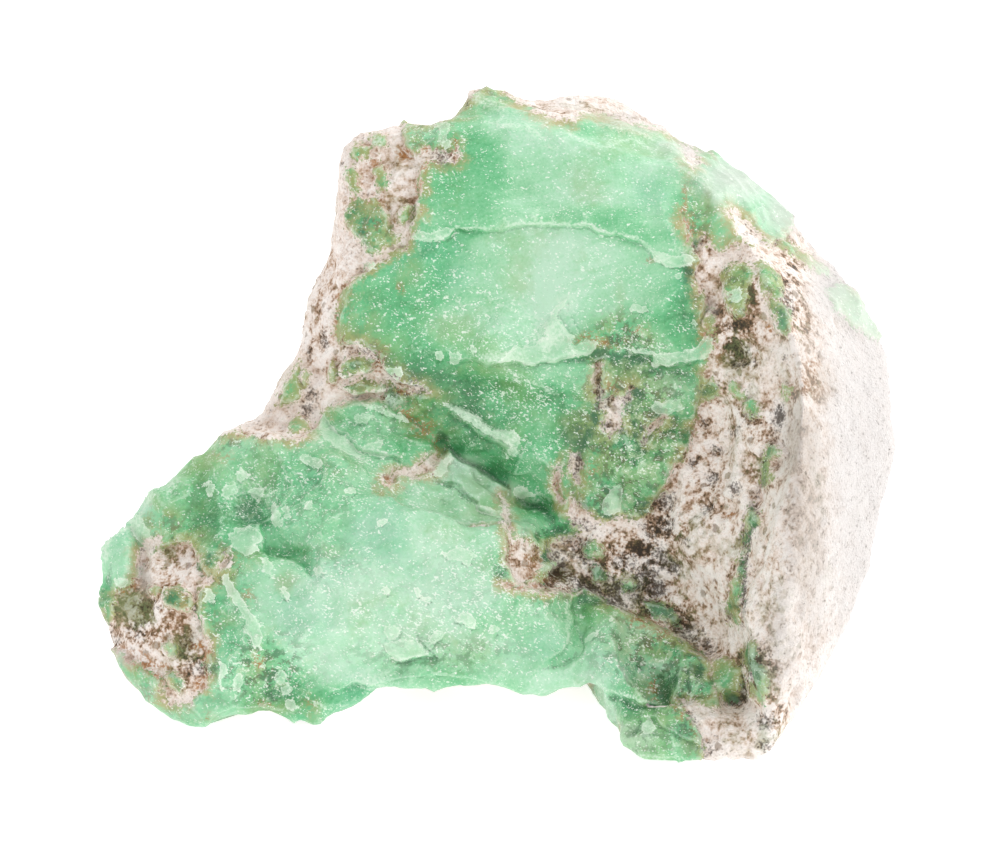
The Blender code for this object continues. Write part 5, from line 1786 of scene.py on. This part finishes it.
# Where the outline is pushed in or out, so that it has the broken stone's own notches.
NUDGES = nudges(
    (440, 706, 70, 24, 0, -22), (376, 704, 30, 16, 0, -2), (250, 726, 30, 16, -4, -13),
    (290, 728, 22, 14, 0, -7), (225, 735, 16, 14, -14, -1), (505, 704, 36, 16, 0, -6),
    (162, 474, 34, 24, 8, 8), (104, 545, 16, 30, -9, -2), (490, 82, 16, 14, 2, 6), (452, 100, 14, 14, 5, 2),
    (426, 116, 26, 10, 0, 5), (590, 100, 66, 26, 0, -7), (616, 740, 22, 26, 5, 0), (600, 705, 16, 20, 5, 0),
    (690, 130, 22, 16, -3, 4), (205, 448, 26, 12, 2, 3), (118, 665, 14, 14, 3, -2),
    (300, 405, 26, 16, 4, 0), (336, 724, 14, 16, -6, 0), (322, 724, 22, 12, 0, 6),
)


@dataclass
class Surface:
    """A mesh as arrays: its points in metres, its outward directions, and its edges' ends."""

    points: np.ndarray
    outward: np.ndarray
    ends: np.ndarray

    @classmethod
    def of(cls, mesh: bpy.types.Mesh) -> "Surface":
        """Reads a mesh's points, normals and edges.

        Args:
            mesh: The mesh to read.

        Returns:
            The same mesh as arrays.
        """
        points = np.empty(len(mesh.vertices) * 3, np.float32)
        mesh.vertices.foreach_get("co", points)
        outward = np.empty(len(mesh.vertices) * 3, np.float32)
        mesh.vertex_normals.foreach_get("vector", outward)
        ends = np.empty(len(mesh.edges) * 2, np.int32)
        mesh.edges.foreach_get("vertices", ends)
        return cls(
            points.reshape(-1, 3).astype(np.float64),
            outward.reshape(-1, 3).astype(np.float64),
            ends.reshape(-1, 2),
        )

    def spread(self, values: np.ndarray, rounds: int) -> np.ndarray:
        """Averages each point's value with its neighbours', as many rounds as asked.

        Args:
            values: One number a point.
            rounds: How many times to average.

        Returns:
            The averaged numbers.
        """
        first, second = self.ends[:, 0], self.ends[:, 1]
        count = len(self.points)
        neighbours = np.bincount(first, minlength=count) + np.bincount(second, minlength=count)
        for _ in range(rounds):
            around = np.bincount(first, values[second], count) + np.bincount(second, values[first], count)
            values = 0.5 * values + 0.5 * around / np.maximum(neighbours, 1)
        return values

    def averaged(self, rounds: int) -> np.ndarray:
        """Each point's place averaged with its neighbours', as many rounds as asked."""
        return np.stack([self.spread(self.points[:, axis], rounds) for axis in range(3)], axis=1)

    def proudness(self, rounds: int) -> np.ndarray:
        """How far each point stands proud of its surroundings, in millimetres; hollows are below zero."""
        return np.sum((self.points - self.averaged(rounds)) * self.outward, axis=1) / MM

    def nearest(self, places: np.ndarray) -> np.ndarray:
        """Which of the mesh's points lies nearest to each place.

        Args:
            places: Places in metres, one row of three each.

        Returns:
            The number of one point a place.
        """
        tree = KDTree(len(self.points))
        for index, point in enumerate(self.points):
            tree.insert(point, index)
        tree.balance()
        return np.array([tree.find(place)[1] for place in places])


def place_points(mesh: bpy.types.Mesh, points: np.ndarray) -> None:
    """Moves a mesh's points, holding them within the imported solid's box.

    Args:
        mesh: The mesh to change.
        points: A new place for each of its points, in metres.
    """
    held = np.clip(points, np.array(SOLID_BOX[0]), np.array(SOLID_BOX[1]))
    mesh.vertices.foreach_set("co", held.astype(np.float32).ravel())
    mesh.update()


def front_and_back(front: np.ndarray, behind: np.ndarray | float, seen: np.ndarray) -> np.ndarray:
    """Drawn values where the broken face is seen, and others behind it."""
    return front * seen + behind * (1.0 - seen)


@dataclass(frozen=True)
class Coat:
    """One quality that is painted on: drawn on the broken face, and left to chance behind it."""

    name: str
    ovals: tuple[Wash, ...]
    lines: tuple[Stroke, ...]
    behind: Chance
    ramp: Ramp

    def laid(self, marks: np.ndarray, in_mm: np.ndarray, seen: np.ndarray) -> np.ndarray:
        """The coat's strength at each point.

        Args:
            marks: The points' chart places.
            in_mm: The points themselves, in millimetres.
            seen: 1 where the chart holds, 0 behind.

        Returns:
            One strength a point, from 0 to 1.
        """
        by_chance = self.ramp.at(lumps(in_mm, self.behind))
        return front_and_back(strongest(self.ovals, self.lines, marks), by_chance, seen)


COATS = (
    Coat("olive", OLIVE_WASHES, (), Chance(5.0, 89, 2), Ramp(0.1, 0.9, 0.8)),
    Coat("rust", RUST_WASHES, RUST_STROKES, Chance(3.5, 97, 2), Ramp(0.45, 1.0)),
    Coat("dark", DARK_WASHES, DARK_STROKES, Chance(2.6, 101, 2), Ramp(0.5, 1.1)),
    Coat("pale", PALE_WASHES, PALE_STROKES, Chance(2.2, 103, 2), Ramp(0.55, 1.1)),
    Coat("brown", BROWN_WASHES, (), Chance(6.0, 107, 2), Ramp(0.0, 1.0, 0.8)),
)


@dataclass
class StoneSkin:
    """The whole lump's visible skin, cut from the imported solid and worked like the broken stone.

    Sizes are in metres where they carry MM, and otherwise in millimetres.
    """

    name: str = "variscite_lump"
    pitch: float = 0.165 * MM
    soften_share: float = 0.5
    soften_rounds: int = 34
    most_triangles: int = 196000
    face_thinning: float = 0.2
    thinning_levels: int = 10
    iron_rounds: int = 6
    fold_limit: float = 0.3

    # How square to the viewer a place has to be for the chart to shape it, paint it, and keep it fine.
    shaped_front: Ramp = Ramp(0.12, 0.5)
    painted_front: Ramp = Ramp(-0.05, 0.2)
    kept_front: Ramp = Ramp(-0.1, 0.3)

    # The drawn relief: how far a line is followed, how its ends fade, and how flakes and remnants stand.
    followed_reaches: float = 3.5
    line_fade: float = 0.18
    flake_lift: Ramp = Ramp(-0.08, 0.12, 0.08)
    remnant_lift: Ramp = Ramp(-0.12, 0.25, 0.08)
    hollow_depth: float = 0.3

    # The waxy green breaks in shells and chips, least where it is calm.
    bends: tuple[Chance, ...] = (Chance(2.0, 11, 2), Chance(2.0, 13, 2), Chance(2.0, 17, 2))
    bend: float = 0.5
    shells: Chance = Chance(3.4, 19)
    shell_rise: float = 1.1
    chips: Chance = Chance(1.3, 23)
    chip_rise: float = 0.5
    wax: Chance = Chance(0.6, 29, 2)
    wax_height: float = 0.04
    green_calm: float = 0.85

    # The host rock is a bed of grains with pits, a little below the green.
    grains: Chance = Chance(0.62, 41)
    grain_radius: float = 0.5
    grain_height: float = 0.11
    grain_least: float = 0.4
    grain_more: float = 1.2
    pits: Chance = Chance(1.5, 47, 2)
    pit_ramp: Ramp = Ramp(0.25, 0.9, 0.32)
    sugar: Chance = Chance(0.42, 53, 2)
    sugar_height: float = 0.07
    rock_sink: float = 0.14
    rock_calm: float = 0.6
    rock_share: Ramp = Ramp(-0.15, 0.2)

    swell: Chance = Chance(3.2, 5, 2)
    swell_height: float = 0.16
    swell_calm: float = 0.6

    # Drawn borders come out ragged by up to this many marks.
    shakes: tuple[Chance, ...] = (Chance(0.9, 61, 2), Chance(0.9, 67, 2))
    shake_marks: float = 2.6

    # Behind the broken face: veins of green in rock, with more rock towards the old flank.
    veins: Chance = Chance(11.0, 71, 3)
    vein_depth: float = 2.6
    rock_lead: float = 1.1
    flank_lead: Ramp = Ramp(6.0, 18.0, 1.6)
    depth_limit: float = 2.5
    back_tone: Chance = Chance(6.0, 83, 2)
    back_tone_sway: float = 0.7
    back_flakes: Chance = Chance(1.8, 109, 2)
    back_flake_height: float = 0.9
    back_flake_sink: float = 0.95
    back_dust: float = 0.4
    back_crumbs: float = 0.5
    # Painted glare behind the broken face: some even pale grey all round, and more on sides turned right, to
    # the lamps.
    back_washout_level: float = 0.3
    flank_washout_level: Ramp = Ramp(-0.2, 0.5, 0.7)

    # A chip of its own tone starts just outside its edge and is full this far inside, in marks.
    tone_patch_edge: Ramp = Ramp(-1.0, 4.0)

    # Clouds, patches and drifts of hue, which the material reads as they are.
    clouds: Chance = Chance(2.4, 113, 3)
    patches: Chance = Chance(0.9, 127, 2)
    hues: Chance = Chance(4.0, 131, 2)

    # A point is proud of, or sunk in, its surroundings averaged over so many rounds, and full at so many mm.
    fine_rounds: int = 2
    fine_full: float = 0.03
    wide_rounds: int = 14
    wide_full: float = 0.12

    # Painted shadow: the thin shade each flake casts just below its foot, laid into the dark coat.
    foot_shift: Mark = (0.8, 2.6)
    foot_under: Ramp = Ramp(-0.06, 0.06)
    foot_clear: Ramp = Ramp(0.02, -0.08)
    foot_shadow: float = 0.5
    flake_depth_limit: float = 1.0

    def cast(self) -> bpy.types.Object:
        """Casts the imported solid's form again at a fine pitch.

        Returns:
            A new object whose mesh has small even faces and no trace of the solid's facets.
        """
        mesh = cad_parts[SOLID].data.copy()
        lump = bpy.data.objects.new(self.name, mesh)
        bpy.context.scene.collection.objects.link(lump)
        grain = lump.modifiers.new("fine_pitch", "REMESH")
        grain.mode = "VOXEL"
        grain.voxel_size = self.pitch
        soften = lump.modifiers.new("soften", "SMOOTH")
        soften.factor = self.soften_share
        soften.iterations = self.soften_rounds
        self.settle(lump)
        return lump

    def settle(self, lump: bpy.types.Object) -> None:
        """Applies an object's modifiers to its mesh.

        Args:
            lump: The object.
        """
        depsgraph = bpy.context.evaluated_depsgraph_get()
        settled = bpy.data.meshes.new_from_object(lump.evaluated_get(depsgraph))
        old = lump.data
        lump.modifiers.clear()
        lump.data = settled
        bpy.data.meshes.remove(old)

    def drawn_offset(self, marks: np.ndarray) -> np.ndarray:
        """How far the drawn edges and flakes lift or sink the broken face, in millimetres.

        Args:
            marks: Chart places, one row of two each.

        Returns:
            One offset towards the viewer a row.
        """
        offset = np.zeros(len(marks))
        for relief in RELIEFS:
            line = EDGES[relief.edge]
            near = near_box(line, marks, self.followed_reaches * relief.reach * MARKS_PER_MM)
            run = trace(line, marks[near])
            offset[near] += run.fade(self.line_fade) * relief.height(run)
        offset += self.flake_lift.at(deepest_inside(FLAKES, marks) / MARKS_PER_MM)
        offset += self.remnant_lift.at(deepest_inside(GREEN_REMNANTS, marks) / MARKS_PER_MM)
        offset -= self.hollow_depth * strongest(DARK_WASHES, (), marks)
        for lift in LIFTS:
            offset += lift.strength * oval_share(lift, marks)
        return offset

    def green_break(self, in_mm: np.ndarray, calm: np.ndarray) -> np.ndarray:
        """How far shells, chips and wax lift the green stone, in millimetres.

        Args:
            in_mm: The points, in millimetres.
            calm: 1 where the stone broke clean.

        Returns:
            One height a point.
        """
        bent = in_mm + self.bend * np.stack([lumps(in_mm, bend) for bend in self.bends], axis=1)
        broken = self.shell_rise * scoops(bent, self.shells)
        broken += self.chip_rise * scoops(bent, self.chips)
        broken += self.wax_height * lumps(in_mm, self.wax)
        return broken * (1.0 - self.green_calm * calm)

    def sandy_break(self, in_mm: np.ndarray, calm: np.ndarray) -> np.ndarray:
        """How far grains, pits and sugar lift the host rock, in millimetres.

        Args:
            in_mm: The points, in millimetres.
            calm: 1 where the stone broke clean.

        Returns:
            One height a point.
        """
        away, number = pebbles(in_mm, self.grains)
        size = self.grain_least + self.grain_more * number
        sandy = self.grain_height * (self.grain_radius - away) * size
        sandy = sandy - self.pit_ramp.at(lumps(in_mm, self.pits)) - self.rock_sink
        sandy += self.sugar_height * lumps(in_mm, self.sugar)
        return sandy * (1.0 - self.rock_calm * calm)

    def push_outline(self, points: np.ndarray, marks: np.ndarray) -> None:
        """Pushes points in or out where the outline has its notches, by their chart places.

        Args:
            points: The points to push, in metres. They are changed in place.
            marks: The points' chart places.
        """
        for nudge in NUDGES:
            share = oval_share(nudge, marks) * MM / MARKS_PER_MM
            points += share[:, None] * (nudge.move_right * FACE_ACROSS - nudge.move_down * FACE_UP)

    def carve(self, lump: bpy.types.Object) -> None:
        """Works the fine mesh: drawn ledges in front, chance breaks everywhere, grains on the host rock.

        Args:
            lump: The cast lump.
        """
        surface = Surface.of(lump.data)
        in_mm = surface.points / MM
        marks = self.ragged(surface)
        facing = self.shaped_front.at(surface.outward @ FACE_OUT)
        rock = self.rock_share.at(self.rock_depth(surface, marks))
        calm = strongest(CALM_WASHES, (), marks) * facing
        drawn = self.drawn_offset(marks) * facing
        along_normal = self.swell_height * lumps(in_mm, self.swell) * (1.0 - self.swell_calm * calm)
        along_normal += self.green_break(in_mm, calm) * (1.0 - rock) + self.sandy_break(in_mm, calm) * rock
        moved = surface.points + surface.outward * (along_normal * MM)[:, None]
        moved += FACE_OUT * (drawn * MM)[:, None]
        self.push_outline(moved, chart_marks(surface.points))
        place_points(lump.data, moved)

    def ragged(self, surface: Surface) -> np.ndarray:
        """Chart places, shaken a little so that drawn borders come out ragged.

        Args:
            surface: The mesh to place on the chart.

        Returns:
            Marks, one row of two a point.
        """
        in_mm = surface.points / MM
        shake = np.stack([lumps(in_mm, chance) for chance in self.shakes], axis=1)
        return chart_marks(surface.points) + self.shake_marks * shake

    def rock_depth(self, surface: Surface, marks: np.ndarray) -> np.ndarray:
        """How deep each point lies in the sandy host rock, in millimetres, and below zero on green stone.

        Args:
            surface: The mesh to paint.
            marks: The points' chart places.

        Returns:
            The drawn borders where the broken face is seen, and a chance patchwork behind it.
        """
        drawn = deepest_inside(HOST_ROCK, marks)
        remnants = deepest_inside(GREEN_REMNANTS, marks)
        drawn = np.minimum(drawn, -remnants) / MARKS_PER_MM
        in_mm = surface.points / MM
        veined = self.vein_depth * lumps(in_mm, self.veins) + self.rock_lead + self.flank_lead.at(in_mm[:, 0])
        front = np.clip(drawn, -self.depth_limit, self.depth_limit)
        behind = np.clip(veined, -self.depth_limit, self.depth_limit)
        return front_and_back(front, behind, self.seen(surface))

    def seen(self, surface: Surface) -> np.ndarray:
        """1 where the broken face's chart holds, 0 on the sides and back that it doesn't reach."""
        return self.painted_front.at(surface.outward @ FACE_OUT)

    def thin(self, lump: bpy.types.Object) -> None:
        """Thins the mesh to its triangle limit, least on the broken face.

        Args:
            lump: The carved lump.
        """
        away = 1.0 - self.kept_front.at(Surface.of(lump.data).outward @ FACE_OUT)
        group = lump.vertex_groups.new(name="thin_here")
        thinning = self.face_thinning + (1.0 - self.face_thinning) * away
        levels = np.round(thinning * self.thinning_levels).astype(int)
        for level in range(1, self.thinning_levels + 1):
            members = np.flatnonzero(levels == level).tolist()
            group.add(members, level / self.thinning_levels, "REPLACE")
        triangles = sum(len(face.vertices) - 2 for face in lump.data.polygons)
        fewer = lump.modifiers.new("fewer", "DECIMATE")
        fewer.ratio = min(1.0, self.most_triangles / triangles)
        fewer.vertex_group = group.name
        fewer.vertex_group_factor = 1.0
        self.settle(lump)
        lump.vertex_groups.clear()

    def iron(self, lump: bpy.types.Object) -> None:
        """Evens out slivers that thinning leaves folded against the skin. Most of them go, but not all.

        Args:
            lump: The thinned lump.
        """
        mesh = lump.data
        for _ in range(self.iron_rounds):
            surface = Surface.of(mesh)
            ways = np.empty(len(mesh.polygons) * 3, np.float32)
            mesh.polygons.foreach_get("normal", ways)
            corner_points = np.empty(len(mesh.loops), np.int32)
            mesh.loops.foreach_get("vertex_index", corner_points)
            corners_each = np.array([len(face.vertices) for face in mesh.polygons])
            face_ways = np.repeat(ways.reshape(-1, 3), corners_each, axis=0)
            agreement = np.sum(face_ways * surface.outward[corner_points], axis=1)
            folded = np.unique(corner_points[agreement < self.fold_limit])
            moved = surface.points.copy()
            moved[folded] = surface.averaged(1)[folded]
            place_points(mesh, moved)
        LOG.info("%s ironed: %d points were folded before the last round", self.name, len(folded))

    def paint(self, lump: bpy.types.Object, broad: Surface) -> None:
        """Stores what each point is made of, with painted light and shade, for the material to read.

        Args:
            lump: The finished mesh.
            broad: The skin before it was carved, whose directions ignore small chips.
        """
        surface = Surface.of(lump.data)
        proud_fine = surface.proudness(self.fine_rounds)
        proud_wide = surface.proudness(self.wide_rounds)
        surface.outward = broad.outward[broad.nearest(surface.points)]
        seen = self.seen(surface)
        marks = self.ragged(surface)
        in_mm = surface.points / MM
        coats = {coat.name: coat.laid(marks, in_mm, seen) for coat in COATS}

        tone = mean_tone(TONE_WASHES, marks)
        for strength, patch in TONE_PATCHES:
            tone += strength * self.tone_patch_edge.at(depth_inside(patch, marks))
        tone = front_and_back(tone, self.back_tone_sway * lumps(in_mm, self.back_tone), seen)

        limit = self.flake_depth_limit
        flakes = np.clip(deepest_inside(FLAKES, marks) / MARKS_PER_MM, -limit, limit)
        # Painted shadow just below each flake's foot, where a flake lies above and none here.
        uphill = marks - np.array(self.foot_shift)
        above = np.clip(deepest_inside(FLAKES, uphill) / MARKS_PER_MM, -limit, limit)
        foot = self.foot_under.at(above) * self.foot_clear.at(flakes) * seen
        behind = self.back_flake_height * lumps(in_mm, self.back_flakes) - self.back_flake_sink
        flakes = front_and_back(flakes, np.clip(behind, -limit, limit), seen)

        # Painted glare behind the broken face, more on sides turned right, to the lamps.
        washout_level = self.back_washout_level + self.flank_washout_level.at(surface.outward[:, 0])
        values = {
            "rock_depth": self.rock_depth(surface, marks),
            "flake_depth": flakes,
            "tone": tone,
            "olive": coats["olive"],
            "rust": coats["rust"],
            "dark": np.maximum(coats["dark"], self.foot_shadow * foot),
            "pale": coats["pale"],
            "dust": front_and_back(strongest(DUST_WASHES, (), marks), self.back_dust, seen),
            "washout": front_and_back(strongest(WASHOUT_WASHES, (), marks), washout_level, seen),
            "crumbs": front_and_back(strongest(CRUMB_WASHES, (), marks), self.back_crumbs, seen),
            "brown": coats["brown"],
            "cloud": lumps(in_mm, self.clouds),
            "patch": lumps(in_mm, self.patches),
            "hue": lumps(in_mm, self.hues),
            "proud": np.clip(proud_fine / self.fine_full, -1.0, 1.0),
            "proud_wide": np.clip(proud_wide / self.wide_full, -1.0, 1.0),
        }
        for name, value in values.items():
            layer = lump.data.attributes.new(name, "FLOAT", "POINT")
            layer.data.foreach_set("value", value.astype(np.float32))

    def build(self) -> bpy.types.Object:
        """Makes the skin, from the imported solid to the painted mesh.

        Returns:
            The finished piece, riding on the stone's body in the solid's place.
        """
        lump = self.cast()
        LOG.info("%s cast: %d points", self.name, len(lump.data.vertices))
        broad = Surface.of(lump.data)
        self.carve(lump)
        self.thin(lump)
        self.iron(lump)
        LOG.info("%s thinned: %d faces", self.name, len(lump.data.polygons))
        self.paint(lump, broad)
        lump.data.shade_smooth()
        lump.data.materials.clear()
        lump.data.materials.append(BrokenVariscite().make())
        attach(lump, BODY)
        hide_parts(SOLID)
        return lump


class Lamp(NamedTuple):
    """A soft box: its name, where it hangs, its side in metres and its power in watts."""

    name: str
    place: tuple[float, float, float]
    side: float
    power: float


@dataclass(frozen=True)
class Studio:
    """A white table under soft light, and the camera that looks down on the broken face."""

    floor_side: float = 6.0
    sky: str = "ffffff"
    sky_strength: float = 0.95
    lamps: tuple[Lamp, ...] = (
        Lamp("key_right", (0.5, -0.1, 0.5), 0.35, 1.2),
        Lamp("edge_right", (0.6, 0.25, 0.15), 0.3, 1.2),
        Lamp("top_back", (0.05, 0.45, 0.6), 0.4, 0.8),
    )
    lens: float = 200.0
    sensor: float = 36.0

    def lay_floor(self) -> None:
        """Lays the paper that the lump stands on."""
        bpy.ops.mesh.primitive_plane_add(size=self.floor_side)
        floor = bpy.context.object
        floor.name = "studio_floor"
        floor.data.materials.append(BacklitPaper().make())

    def light(self) -> None:
        """Hangs the soft boxes and brightens the room."""
        world = bpy.data.worlds.new("bright_room")
        world.use_nodes = True
        background = world.node_tree.nodes["Background"]
        background.inputs["Color"].default_value = linear(self.sky)
        background.inputs["Strength"].default_value = self.sky_strength
        bpy.context.scene.world = world
        for lamp in self.lamps:
            box = bpy.data.lights.new(lamp.name, "AREA")
            box.size = lamp.side
            box.energy = lamp.power
            hung = bpy.data.objects.new(lamp.name, box)
            hung.location = lamp.place
            aim = Vector(FACE_CENTRE) - Vector(lamp.place)
            hung.rotation_euler = aim.to_track_quat("-Z", "Y").to_euler()
            bpy.context.scene.collection.objects.link(hung)

    def stand_camera(self) -> None:
        """Stands the camera square to the broken face."""
        camera = bpy.data.objects.new("camera", bpy.data.cameras.new("camera"))
        camera.data.lens = self.lens
        camera.data.sensor_width = self.sensor
        camera.data.clip_start = VIEW_DISTANCE / 20
        out = Vector(FACE_OUT)
        camera.location = Vector(FACE_CENTRE) + out * VIEW_DISTANCE
        camera.rotation_euler = (-out).to_track_quat("-Z", "Y").to_euler()
        bpy.context.scene.collection.objects.link(camera)
        bpy.context.scene.camera = camera
        bpy.context.scene.view_settings.view_transform = "Standard"


def main() -> None:
    """Builds the studio and the lump."""
    logging.basicConfig(level=logging.INFO, format="%(name)s: %(message)s")
    studio = Studio()
    studio.stand_camera()
    studio.lay_floor()
    studio.light()
    LOG.info("studio ready")
    lump = StoneSkin().build()
    LOG.info("%s dressed", lump.name)


if __name__ == "__main__":
    main()
